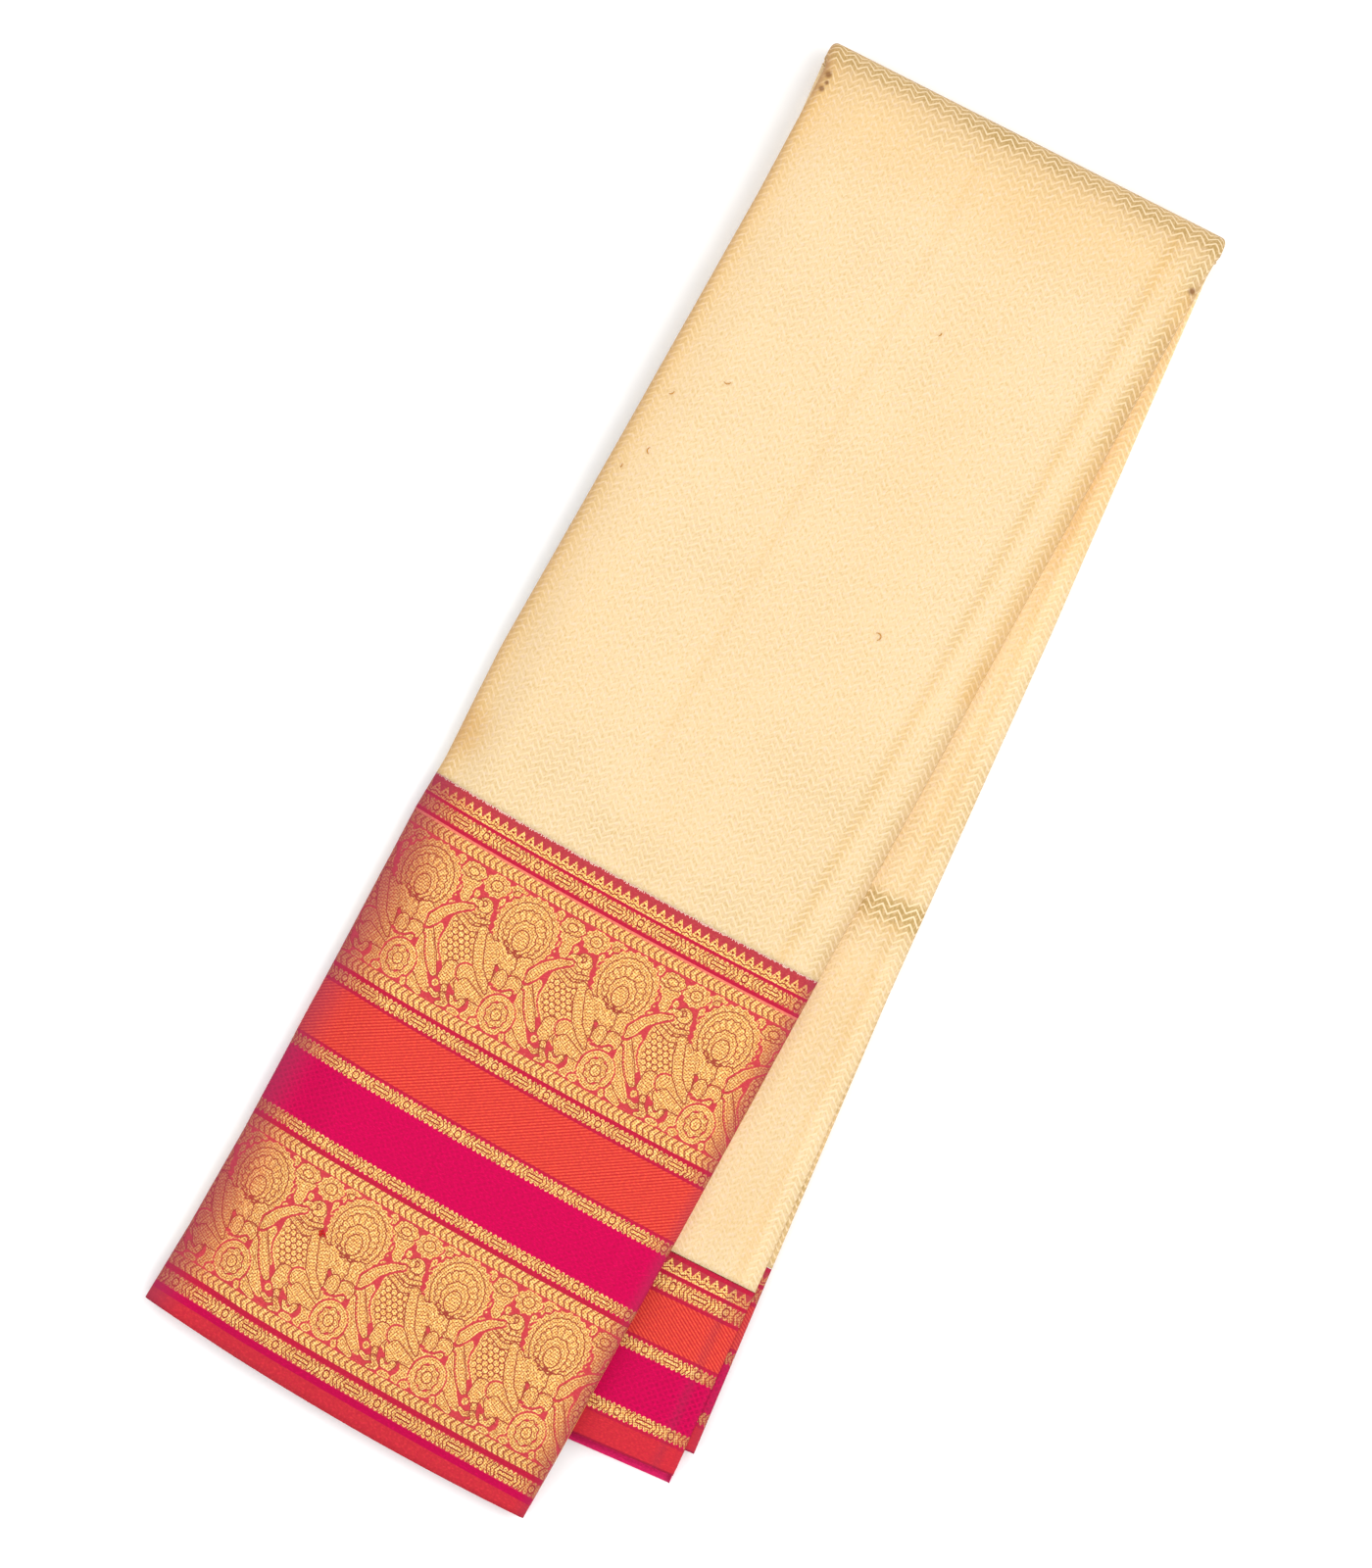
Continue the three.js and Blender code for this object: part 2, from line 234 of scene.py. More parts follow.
# %% The cloth's formula
def cloth_point(station, across, depth):
    """Places in metres, as whole arrays.  On the legs a place slides straight between the hem's
    line and the fold's line as the station grows.  Round the fold it turns through half a circle.
    Height is the leg's thickness plus or minus depth, less what the front leg has fallen."""
    station, across, depth = np.broadcast_arrays(station, across, depth)
    near_edge = soft(1 - (1 - np.abs(across) / HALF) / 0.3)
    left = np.interp(station, EDGES[:, 0], EDGES[:, 1])
    right = np.interp(station, EDGES[:, 0], EDGES[:, 2])
    width = across + np.sign(across) * np.where(across < 0, left, right) * near_edge
    fold_x, fold_y = on_line((0, FOLD_Y), FOLD_TILT, width)
    hem_x, hem_y = on_line((0, FRONT_HEM_Y), HEM_TILT, width)
    hem_y = hem_y - HEM_BOW * (1 - (width / HALF) ** 2)
    back_x, back_y = on_line(BACK_HEM, BACK_LEAN, width)

    front_x = hem_x + (fold_x - hem_x) * station
    front_y = hem_y + (fold_y - hem_y) * station
    swell = 1 + SWELL * soft(1 - (1 - station) * FOLD_Y / SWELL_REACH)
    front_z = (LEG + depth) * swell - fallen(front_x, front_y)

    turn = np.clip(station - 1, 0, 1) * math.pi
    reach = depth * RISE * np.sin(turn)
    tilt = math.radians(FOLD_TILT)
    turn_x = fold_x - reach * math.sin(tilt)
    turn_y = fold_y + reach * math.cos(tilt)
    turn_z = (LEG + depth * np.cos(turn)) * RISE

    down = station - 2
    swell = 1 + SWELL * soft(1 - down * BACK_LENGTH / SWELL_REACH)
    leg = [station <= 1, station < 2]
    x = np.select(leg, [front_x, turn_x], fold_x + (back_x - fold_x) * down)
    y = np.select(leg, [front_y, turn_y], fold_y + (back_y - fold_y) * down)
    z = np.select(leg, [front_z, turn_z], (LEG - depth) * swell)
    return np.stack([x - ORIGIN[0], y - ORIGIN[1], z], axis=-1) / 1000


low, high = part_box("wide_border")
corner = cloth_point(0.0, -88.5, LEG)
print("wide border box", np.round(low, 4), np.round(high, 4), "hem's left corner", np.round(corner, 4))


# %% Where lines of the flat cloth lie
def front_lie(y, width):
    """How far up from the hem a line of the flat cloth lies on the front leg.  The bands are
    straighter than the hem, so they lie higher, and most in the middle: the rows are (line,
    rise at the edges, more in the middle), in mm."""
    rows = np.array([(0, 0, 0), (5, 1.6, 2.0), (95, 2.7, 1.55), (126, 1.9, 1.4), (234, 1.65, .45),
                     (250, 2.3, .3), (330, 0, 0)])
    rise = np.interp(y, rows[:, 0], rows[:, 1])
    return y + rise + np.interp(y, rows[:, 0], rows[:, 2]) * (1 - (width / HALF) ** 2)


def back_lie(y, width):
    """The same for the back leg, counted from its hem.  Its bands fall to the right: the rows are
    (line, rise 66 mm to the right, rise for each mm further right)."""
    rows = np.array([(0, -1.5, 0), (10, -.05, -.012), (40, 0, -.037), (46, .7, -.033),
                     (68, 1.25, -.035), (86, 2.4, -.044), (150, 0, 0)])
    right = np.clip(width, 30, HALF) - 66
    return y + np.interp(y, rows[:, 0], rows[:, 1]) + np.interp(y, rows[:, 0], rows[:, 2]) * right


def length_along(station):
    """How far along the outer face a station lies, in mm from the front hem."""
    along = [0, FOLD_Y, FOLD_Y + TURN_LENGTH, FOLD_Y + TURN_LENGTH + BACK_LENGTH]
    return np.interp(station, [0, 1, 2, 3], along)


def spaced(start, end, step):
    """Evenly spaced numbers from start to end, both included, about `step` apart."""
    return np.linspace(start, end, max(2, round(abs(end - start) / step) + 1))


print("front leg", round(FOLD_Y), "mm, fold", round(TURN_LENGTH), "mm, back leg", round(BACK_LENGTH), "mm")

# %% [markdown]
# ## Soft creases
# Folded silk keeps a memory of how it was folded before.  Old folds show as long straight lines,
# a little raised or sunk, and between them the cloth swells and dips by fractions of a
# millimetre.  They are listed one row each, because a noise texture would spread them
# evenly, and real ones are uneven.  Each hidden side has its own.

# %% Creases and swellings
def lines(x, y, table):
    """Sum over the rows of height × exp(-(distance from the row's line ÷ width)²).  A row is
    (x0, y0, x1, y1, height, width), all in mm on the cloth."""
    total = np.zeros(np.broadcast(x, y).shape)
    for x0, y0, x1, y1, height, width in table:
        dx, dy = x1 - x0, y1 - y0
        share = np.clip(((x - x0) * dx + (y - y0) * dy) / (dx * dx + dy * dy), 0, 1)
        distance = np.hypot(x - x0 - share * dx, y - y0 - share * dy)
        total += height * np.exp(-(distance / width) ** 2)
    return total


def patches(x, y, table):
    """Sum over the rows of amount × four soft steps, one at each side of a rectangle.  A row is
    (left, right, low, high, feather, amount), in mm on the cloth."""
    total = np.zeros(np.broadcast(x, y).shape)
    for left, right, low, high, feather, amount in table:
        inside = soft((x - left) / feather + .5) * soft((right - x) / feather + .5)
        total += amount * inside * soft((y - low) / feather + .5) * soft((high - y) / feather + .5)
    return total


def swelling(x, y, seed):
    """Low swellings: the sum of six sine waves of 30 to 130 mm, crossing at fixed odd angles."""
    rng = np.random.default_rng(seed)
    total = np.zeros(np.broadcast(x, y).shape)
    for wave in rng.uniform(30, 130, 6):
        turn, shift = rng.uniform(0, math.tau, 2)
        total += np.sin((x * np.cos(turn) + y * np.sin(turn)) / wave * math.tau + shift) / 6
    return total


FRONT_CREASES = [
    (-13.9, 300, -12.5, 600, -0.42, 1.6), (-10.5, 300, -9, 600, 0.28, 3.0),
    (-13.5, 0, -14.5, 172, -0.50, 1.4), (-10, 0, -11, 172, 0.34, 2.6),
    (-59.6, 330, -58, 590, -0.14, 2.0), (72.6, 0, 71.5, 605, 0.42, 2.2),
    (77.5, 20, 76.5, 600, -0.28, 2.6), (-90, 549, 90, 552, -0.16, 3.5),
    (30, 40, 31, 250, 0.12, 2.6), (-40, 255, 10, 262, 0.14, 4.0), (20, 286, 74, 279, -0.12, 4.0),
    (-88, 415, -40, 404, 0.12, 5.0), (-48, 20, -47, 240, -0.10, 3.0),
]
UNDER_CREASES = [
    (-22, 660, -24, 1090, -0.45, 2.4), (51, 640, 49, 1080, -0.4, 2.2),
    (-90, 900, 90, 893, -0.5, 4.0), (-70, 700, 10, 712, -0.3, 5.0),
]
BACK_CREASES = [
    (81.4, 0, 80.6, 540, -0.7, 1.6), (-91, 262, 91, 251, -0.65, 4.5), (-91, 270, 91, 260, 0.12, 3.0),
    (20, 0, 23, 380, -0.3, 2.0), (60, 120, 62, 470, -0.28, 2.2), (-91, 152, 91, 161, -0.2, 5.0),
    (40, 0, 42, 86, -0.18, 1.6),
]
print(len(FRONT_CREASES), "front creases,", len(BACK_CREASES), "on the back leg")

# %% [markdown]
# ## One grid for every leaf
# A leaf is a grid of points: its rows run across the pack and its columns run along it.  Its side
# edges roll round what lies under them, as the edge of a folded cloth does.  Solidify then gives
# it the thickness of the silk, so it stays a closed shell.  The grid also keeps, as the attribute
# "cloth", where each point lies on the flat cloth in millimetres, and the weave follows that.

# %% Grids, shells and their attributes
def grid_mesh(name, *grids, closed=False):
    """A mesh of quads between the points of one or more (rows, columns, 3) arrays.  A closed grid
    joins its last column to its first and gets one face at each end."""
    faces, first = [], 0
    for points in grids:
        rows, columns = points.shape[:2]
        index = first + np.arange(rows * columns).reshape(rows, columns)
        first += rows * columns
        if closed:
            index = np.concatenate([index, index[:, :1]], axis=1)
        quads = np.stack([index[:-1, :-1], index[:-1, 1:], index[1:, 1:], index[1:, :-1]], axis=-1)
        faces += quads.reshape(-1, 4).tolist()
        if closed:
            faces += [index[0, -2::-1].tolist(), index[-1, :-1].tolist()]
    mesh = bpy.data.meshes.new(name)
    mesh.from_pydata(np.concatenate([points.reshape(-1, 3) for points in grids]).tolist(), [], faces)
    mesh.shade_smooth()
    return mesh


def keep(mesh, name, values, domain="POINT"):
    """Store an array as a mesh attribute: a number, three numbers or four for each element."""
    values = np.ascontiguousarray(values, dtype=np.float32)
    size = 1 if values.ndim == 1 else values.shape[-1]
    kind, field = {1: ("FLOAT", "value"), 3: ("FLOAT_VECTOR", "vector"), 4: ("FLOAT_COLOR", "color")}[size]
    mesh.attributes.new(name, kind, domain).data.foreach_set(field, values.ravel())


def rolled(width, top, radius, inward):
    """Across and depth for a length `width` from the middle: flat at depth `top`, then round a
    quarter circle of `radius` that turns `inward` (1 or -1), up to the pack's edge."""
    flat = HALF - radius
    turn = np.clip((np.abs(width) - flat) / radius, 0, math.pi / 2)
    across = np.sign(width) * (np.minimum(np.abs(width), flat) + radius * np.sin(turn))
    return across, top + inward * radius * (1 - np.cos(turn))


def widths(radius, step):
    """Places across a leaf, `step` mm apart, with five round each rolled edge."""
    flat = HALF - radius
    edge = flat + radius * np.linspace(0.2, 1, 5) * math.pi / 2
    return np.concatenate([-edge[::-1], spaced(-flat, flat, step), edge])


OUTER_ROLL, INNER_ROLL = 2.5, 1.3


def leaf_points(station, width, top, inward, relief, slip=0.0, to_hem=9.0):
    """Places of a leaf whose face lies at depth `top`, raised by `relief` on the side that shows.
    The relief dies out towards the rolled edges, and the last 2 mm before a hem droop by 0.4."""
    radius = OUTER_ROLL if top == LEG else INNER_ROLL
    across, depth = rolled(width, top, radius, inward)
    relief = relief * soft((HALF - 1 - np.abs(width)) / 6)
    droop = 0.4 * np.clip(1 - to_hem / 2, 0, 1) ** 2
    return cloth_point(station, across + slip, depth - inward * (relief - droop))


def add_piece(name, mesh, grow):
    """An object for the mesh.  Solidify adds the silk's thickness on the inner side of its faces
    (-1) or on their outer side (1).  With 0 the mesh is closed already and stays as it is."""
    piece = bpy.data.objects.new(name, mesh)
    scene.collection.objects.link(piece)
    if grow:
        silk = piece.modifiers.new("thickness of the silk", "SOLIDIFY")
        silk.thickness = THREAD / 1000
        silk.offset = grow
    return piece


# %% [markdown]
# ## The cream body
# One leaf runs from the wide border up the front leg, round the fold and back under the pack.  It
# is one mesh here, because a sari has no seam there.  The zigzag of its brocade is hardly seen
# where the cloth faces the light, and plainly where it turns away, because the flat gold threads
# between the zigzags stop shining.  That light and shade is painted into the colour: the attribute
# painted_sheen_and_shade says how far the gold is painted unlit (x), how warm the silk looks, from
# its own uneven tone and a painted warm sheen (y), and how deep its painted shade is (z), placed
# patch by patch.

# %% The outer body
def add_cloth(mesh, x, y, show, warm_tone_and_sheen, deep):
    """Keep the flat cloth's coordinates and the three painted sheen and shade values, one for each
    point.  A shade below 0 is a painted highlight, where the cloth is painted lighter than the rest."""
    flat = np.broadcast_arrays(x, y, 0.0)
    keep(mesh, "cloth", np.stack(flat, axis=-1).reshape(-1, 3))
    painted_sheen_and_shade = [np.broadcast_to(np.clip(value, -1, 1), flat[0].shape) for value in (show, warm_tone_and_sheen, deep)]
    keep(mesh, "painted_sheen_and_shade", np.stack(painted_sheen_and_shade, axis=-1).reshape(-1, 3))


body_stations = np.concatenate([
    spaced(WIDE / FOLD_Y, 1, 2.6 / FOLD_Y),
    spaced(1, 2, 1.6 / TURN_LENGTH)[1:-1],
    spaced(2, 3 - NARROW / BACK_LENGTH, 5 / BACK_LENGTH),
])[:, None]
body_widths = widths(OUTER_ROLL, 2.2)[None, :]
along = length_along(body_stations)
CREST = FOLD_Y + TURN_LENGTH / 2

front = along < CREST
lying = np.where(front, front_lie(along, body_widths) / FOLD_Y, body_stations)
lying = np.where(body_stations < 1, lying, body_stations)
relief = np.where(front, lines(body_widths, along, FRONT_CREASES), lines(body_widths, along, UNDER_CREASES))
relief = relief + np.where(front, 0.16 * swelling(body_widths, along, 3), 0)
relief = relief * soft(np.abs(along - CREST) / 30 - 0.4)
body_mesh = grid_mesh("outer body", leaf_points(lying, body_widths, LEG, -1, relief))

# Where the gold between the zigzags is painted unlit: at the edges, the crown, a crease, the joint.
BODY_UNLIT_GOLD = [
    (-96, -86, 240, 660, 9, .16), (85, 96, 240, 660, 7, .22), (-99, 99, CREST - 15, CREST + 20, 8, .62),
    (-99, 99, CREST - 26, CREST - 10, 12, .16), (84, 96, 500, 585, 10, .20),
    (-76, -30, 248, 300, 40, .09), (-30, 60, 250, 272, 18, .07), (34, 84, 255, 340, 40, .09),
    (70.5, 75, 260, 600, 3, .14),
]
# Painted warm sheen along creases, the side edges and near the fold.
BODY_WARM_SHEEN = [
    (-15.5, -12.5, 300, 600, 3, .15), (71, 75, 250, 600, 4, .34), (86, 97, 250, 400, 6, .14),
    (-97, -84, 240, 620, 12, .45), (85, 97, 380, 574, 8, .50), (-92, -78, 262, 284, 16, .35),
    (-99, 99, 560, 620, 40, .25),
]
# Painted shade at edges, gaps and the crown; below 0 a painted highlight.
BODY_PAINTED_SHADE = [
    (-97, -89, 240, 640, 5, .45), (88, 97, 240, 560, 5, .25), (-99, -89, 576, 592, 4, .35),
    (89, 99, 568, 581, 4, .35), (-99, 99, CREST - 3, CREST + 9, 5, .6), (-92, -82, 264, 280, 12, .2),
    (-99, 99, CREST - 20, CREST, 14, .12), (-86, -72, 250, 600, 16, .07), (76, 82, 250, 560, 8, -.05),
]
show = 0.15 + 0.03 * swelling(body_widths, along, 8) + patches(body_widths, along, BODY_UNLIT_GOLD)
warm_tone_and_sheen = 0.08 + 0.10 * swelling(body_widths, along, 9) + patches(body_widths, along, BODY_WARM_SHEEN)
add_cloth(body_mesh, body_widths, along, show, warm_tone_and_sheen, patches(body_widths, along, BODY_PAINTED_SHADE))
outer_body = add_piece("body_outer_leaf", body_mesh, -1)
print("outer body:", len(body_mesh.polygons), "quads,", round(float(along.max() - along.min())), "mm long")

# %% [markdown]
# ## Bands of the borders
# A weaver plans a border band by band from the selvedge in: plain lines, a vine, rows of arrow
# heads, twill, a fine diaper, and the wide fields with figures.  The tables say how high each
# band is, its dye and its weave.  The grid gets a row exactly on each band's edge, so the dyes
# and weaves can be kept for each face, and the UV map "band" gives every face its place inside
# its band: x in millimetres, and y from -1 at the band's lower edge to 1 at its upper one.

# %% Tables of bands, from the hem up
CRIMSON, MAGENTA, LINE, RUST = "#BC4044", "#C2004B", "#AE1D38", "#BE6538"
ORANGE, SELVEDGE, GOLD, DARK_CRIMSON = "#E1543D", "#B92D35", "#E0AE5A", "#A83C40"
WEAVES = ("vine", "arrow", "temple", "base", "twill", "diaper", "figure", "joint")

WIDE_BANDS = [
    # height in mm, dye, weave
    (4.49, SELVEDGE, "plain"), (2.86, "#B00443", "plain"), (6.53, CRIMSON, "vine"), (2.45, LINE, "plain"),
    (4.90, RUST, "arrow"), (61.2, CRIMSON, "figure"), (4.90, RUST, "arrow"), (2.04, LINE, "plain"),
    (5.55, MAGENTA, "vine"), (26.07, MAGENTA, "diaper"), (5.92, MAGENTA, "vine"), (1.22, LINE, "plain"),
    (24.07, ORANGE, "twill"), (1.22, LINE, "plain"), (5.52, LINE, "vine"), (1.60, LINE, "plain"),
    (5.32, RUST, "arrow"), (61.4, CRIMSON, "figure"), (4.90, RUST, "arrow"), (1.00, "#DA7A62", "plain"),
    (1.50, LINE, "plain"), (5.65, CRIMSON, "vine"), (1.22, LINE, "plain"), (2.04, RUST, "base"),
    (3.40, DARK_CRIMSON, "temple"), (2.60, DARK_CRIMSON, "joint"),
]
NARROW_BANDS = [
    (0.8, "#981C34", "plain"), (9.4, "#BE2C34", "plain"), (1.22, LINE, "plain"), (6.28, MAGENTA, "vine"),
    (23.3, MAGENTA, "diaper"), (5.5, MAGENTA, "vine"), (1.22, LINE, "plain"), (20.0, ORANGE, "twill"),
    (1.63, LINE, "plain"), (6.65, CRIMSON, "vine"), (1.63, LINE, "plain"), (2.4, RUST, "base"),
    (3.3, DARK_CRIMSON, "temple"), (1.97, LINE, "plain"),
]
# The outer leaf's hem band lies low: its magenta is painted lighter, as a painted highlight.
UNDER_BANDS = [(10.2, "#E02468", "plain")] + NARROW_BANDS[2:]


def band_rows(bands, total, fine, coarse):
    """Row places from 0 to `total`, an even number of steps in each band, and for each step its
    band and the place inside it of its lower and upper row, from -1 to 1.  Also the bands' edges."""
    heights = np.array([band[0] for band in bands])
    heights = heights * total / heights.sum()
    edges = np.concatenate([[0], np.cumsum(heights)])
    places, owners, inside = [0.0], [], []
    for number, (_, _, weave) in enumerate(bands):
        steps = 2 * max(1, round(heights[number] / (fine if weave == "figure" else coarse) / 2))
        share = np.arange(steps + 1) / steps
        places += list(edges[number] + heights[number] * share[1:])
        owners += [number] * steps
        inside += list(zip(2 * share[:-1] - 1, 2 * share[1:] - 1))
    return np.array(places), np.array(owners), np.array(inside), edges


def band_faces(bands, owners, inside, x, ends=0):
    """Each face's dye and weave, and the place inside its band of each of its corners.  `owners`
    and `inside` say which band each row of faces is in, and `x` is the flat cloth's x of each
    column of points.  A closed grid has two end faces, with as many corners as it has columns."""
    faces = len(x) - 1
    dyes = np.array([linear(dye) for _, dye, _ in bands])
    codes = np.array([[weave == name for name in WEAVES] for _, _, weave in bands], dtype=float)
    owner = np.concatenate([np.repeat(owners, faces), np.full(ends, owners[0])])
    left, right = (np.tile(edge, len(owners)) for edge in (x[:-1], x[1:]))
    low, high = (np.repeat(inside[:, side], faces) for side in (0, 1))
    corners = np.stack([left, low, right, low, right, high, left, high], axis=-1).ravel()
    corners = np.concatenate([corners, np.zeros(2 * ends * faces)])
    return dyes[owner], codes[owner], corners


def paint_bands(mesh, dyes, codes, corners):
    """Keep the arrays of `band_faces` on the mesh."""
    keep(mesh, "dye", dyes, "FACE")
    keep(mesh, "weave_a", codes[:, :4], "FACE")
    keep(mesh, "weave_b", codes[:, 4:], "FACE")
    mesh.uv_layers.new(name="band").uv.foreach_set("vector", corners.astype(np.float32))


print("wide border:", len(WIDE_BANDS), "bands,", round(sum(band[0] for band in WIDE_BANDS), 1), "mm")

# %% [markdown]
# ## Peacocks and flowers
# The two figure fields repeat one cell: a peacock with its raised tail, a trumpet flower, a
# rosette in a ring and long leaves.  A brocade weaver charts such a cell on squared paper.  Here
# it is drawn with ovals and tapered stems.  Each shape's signed distance (negative inside, in mm)
# is laid over the ones before it with a narrow moat, so the shapes stay apart as woven ones do.
# The distance is kept at each point and the material draws the outline where it is zero, which
# is smooth even on a grid as coarse as the cloth's.

# %% The cell's shapes
CELL_WIDTH, CELL_HEIGHT = 47.3, 61.3
# An oval is (style, moat, x, y, half width, half height, degrees turned, lobes, depth of lobes).
# A stem is (style, moat, [(x, y, half width), ...]).  Styles say which inner lines it gets.  A
# moat of 0 means that the shape's edge is only a thin line of binding stitches.
PLAIN, BARS, RINGS, RAYS, SCALES = range(5)
FIGURES = [
    # the trumpet flower, its blossom and buds
    (BARS, .9, [(18.8, 43.6, 1.0), (17.0, 48.8, 3.4), (16.4, 53.6, 5.6)]),
    (RAYS, 0, 16.6, 57.2, 5.8, 3.5, 0, 9, .08), (RINGS, 0, 16.6, 56.8, 2.4, 1.7, 0, 0, 0),
    (RINGS, .9, 9.4, 58.6, 2.0, 2.3, -16, 0, 0), (BARS, .9, [(13.6, 44.6, 1.2), (13.0, 48.6, 1.7)]),
    (PLAIN, .9, 14.4, 40.8, 1.3, 1.6, -20, 0, 0), (PLAIN, .9, 22.2, 49.2, 1.2, 1.9, 24, 0, 0),
    # blossoms over the head
    (RAYS, .9, 37.2, 57.4, 4.5, 3.6, 0, 9, .08), (RINGS, 0, 37.2, 57.3, 2.0, 1.6, 0, 0, 0),
    (RAYS, .9, 28.0, 56.2, 5.6, 4.9, 10, 10, .08), (RINGS, 0, 28.0, 56.2, 2.7, 2.4, 10, 0, 0),
    (BARS, .9, [(35.6, 42.4, .8), (34.6, 46.6, 1.9), (33.4, 51.6, 1.6)]),
    # long leaves that hang in front of the breast
    (BARS, .9, [(12.4, 33.4, .9), (14.8, 28.6, 2.3), (18.0, 22.6, 2.5), (20.4, 17.4, 1.0)]),
    (BARS, 0, [(10.6, 30.0, .8), (12.4, 24.2, 2.5), (16.8, 17.0, 3.1), (21.8, 11.4, 1.4)]),
    (BARS, .9, [(10.4, 23.0, .8), (12.4, 15.4, 2.4), (16.6, 8.8, 3.0), (22.6, 4.0, 1.2)]),
    (BARS, 0, [(12.2, 8.4, .8), (15.4, 3.6, 2.3), (20.0, 1.4, 1.4)]),
    # breast, body and neck in one tapered stem
    (SCALES, 1.0, [(27.2, 45.6, 4.2), (26.2, 40.6, 6.0), (26.2, 34.0, 8.6), (27.8, 27.0, 10.2),
                   (31.2, 20.4, 8.8), (35.0, 14.4, 5.6), (38.8, 11.6, 3.4)]),
    (BARS, 0, [(19.2, 38.2, 1.1), (26.6, 35.4, 1.3), (33.4, 38.0, 1.1)]),
    (BARS, 0, [(20.4, 41.4, 1.0), (27.0, 39.4, 1.1), (32.0, 41.2, 1.0)]),
    # thighs, shanks, claws and the ground's leaves
    (BARS, 0, [(27.6, 16.8, 3.6), (26.8, 12.4, 3.0), (28.6, 8.2, 1.5)]),
    (PLAIN, 0, [(28.6, 8.6, 1.4), (29.6, 5.6, 1.3), (26.6, 3.6, 1.2), (23.8, 4.8, 1.0)]),
    (PLAIN, 0, [(29.4, 5.6, 1.2), (32.4, 2.4, 1.3), (28.8, 1.3, 1.0)]),
    (BARS, 0, [(35.0, 13.0, 3.8), (36.4, 9.4, 3.0), (38.2, 6.6, 1.5)]),
    (PLAIN, 0, [(38.0, 7.0, 1.4), (37.2, 4.4, 1.3), (34.4, 4.6, 1.1), (33.0, 6.6, .9)]),
    (BARS, .9, [(40.8, 10.4, 1.1), (44.0, 6.6, 2.5), (43.2, 2.8, 2.4), (40.2, 2.0, 1.1)]),
    (RINGS, .9, 36.4, 1.4, 2.9, 1.4, 0, 0, 0),
    # the raised tail: a lobed fan, its eyes in two rings, and a pointed heart
    (RAYS, 1.0, 0, 45.8, 13.4, 14.9, 0, 26, .035), (RINGS, 0, 0, 45.4, 11.2, 12.6, 0, 26, .02),
    (RAYS, 0, 0, 44.6, 8.6, 10.0, 0, 18, .05), (RINGS, 0, 0, 42.6, 5.8, 7.2, 0, 10, .05),
    (BARS, 0, 0, 41.2, 3.4, 4.6, 0, 0, 0),
    (RINGS, 0, -6.4, 31.4, 4.6, 5.3, 20, 7, .06), (RINGS, 0, 6.4, 31.4, 4.6, 5.3, -20, 7, .06),
    (RAYS, 0, 0, 29.6, 3.4, 5.0, 0, 7, .06),
    (BARS, 0, -6.2, 22.8, 3.7, 4.8, 32, 0, 0), (BARS, 0, 5.6, 22.8, 3.9, 4.8, -28, 0, 0),
    (RINGS, 0, 0, 22.6, 3.0, 4.6, 0, 0, 0), (BARS, .9, -2.0, 17.2, 3.4, 1.8, -16, 0, 0),
    # tail coverts and wing
    (BARS, .9, [(33.6, 18.0, 3.8), (39.6, 15.4, 4.5), (45.8, 13.8, 3.6), (51.0, 16.0, 2.3),
                (53.8, 20.0, 1.1)]),
    (BARS, 0, [(35.2, 14.2, 2.2), (41.4, 11.2, 2.5), (46.8, 10.2, 1.4)]),
    (BARS, 0, [(31.6, 37.4, 2.0), (35.0, 32.0, 4.3), (38.2, 25.0, 4.4), (41.6, 18.8, 2.4),
               (44.4, 15.2, .9)]),
    (BARS, 0, [(35.0, 36.6, 1.3), (38.4, 31.2, 2.6), (41.0, 25.0, 2.4), (43.6, 20.4, .9)]),
    # head, beak and the stem that hangs from it
    (PLAIN, 0, 27.4, 46.8, 3.5, 3.3, 0, 0, 0), (RINGS, 0, 26.8, 47.3, 1.3, 1.3, 0, 0, 0),
    (PLAIN, 0, [(25.0, 46.4, 1.6), (22.2, 46.2, 1.3), (20.6, 44.2, .9)]),
    (BARS, .9, [(22.8, 43.6, 1.0), (18.4, 41.0, 1.7), (14.0, 36.8, 1.9), (11.2, 31.6, 2.4),
                (10.4, 28.2, 1.2)]),
    # the rosette in its ring
    (PLAIN, .9, 5.8, 9.2, 7.5, 8.4, 0, 0, 0), (PLAIN, -1, 5.8, 9.2, 5.3, 6.2, 0, 0, 0),
    (RAYS, 0, 5.8, 9.2, 4.5, 5.4, 0, 8, .10), (RINGS, 0, 5.8, 9.2, 2.2, 2.6, 0, 0, 0),
    (PLAIN, .9, 12.2, 2.0, 1.2, 1.9, 20, 0, 0), (PLAIN, .9, -1.2, 1.9, 2.0, 1.6, 0, 0, 0),
    (PLAIN, .9, 24.4, 8.4, 1.4, 1.6, 0, 0, 0),
]
print(len(FIGURES), "shapes in a cell of", CELL_WIDTH, "by", CELL_HEIGHT, "mm")

# %% Signed distances to the shapes
LARGEST_POCKET = 2.2   # mm: ground that lies farther than this from every shape is filled with gold
RIB = 1.45             # mm between the inner lines


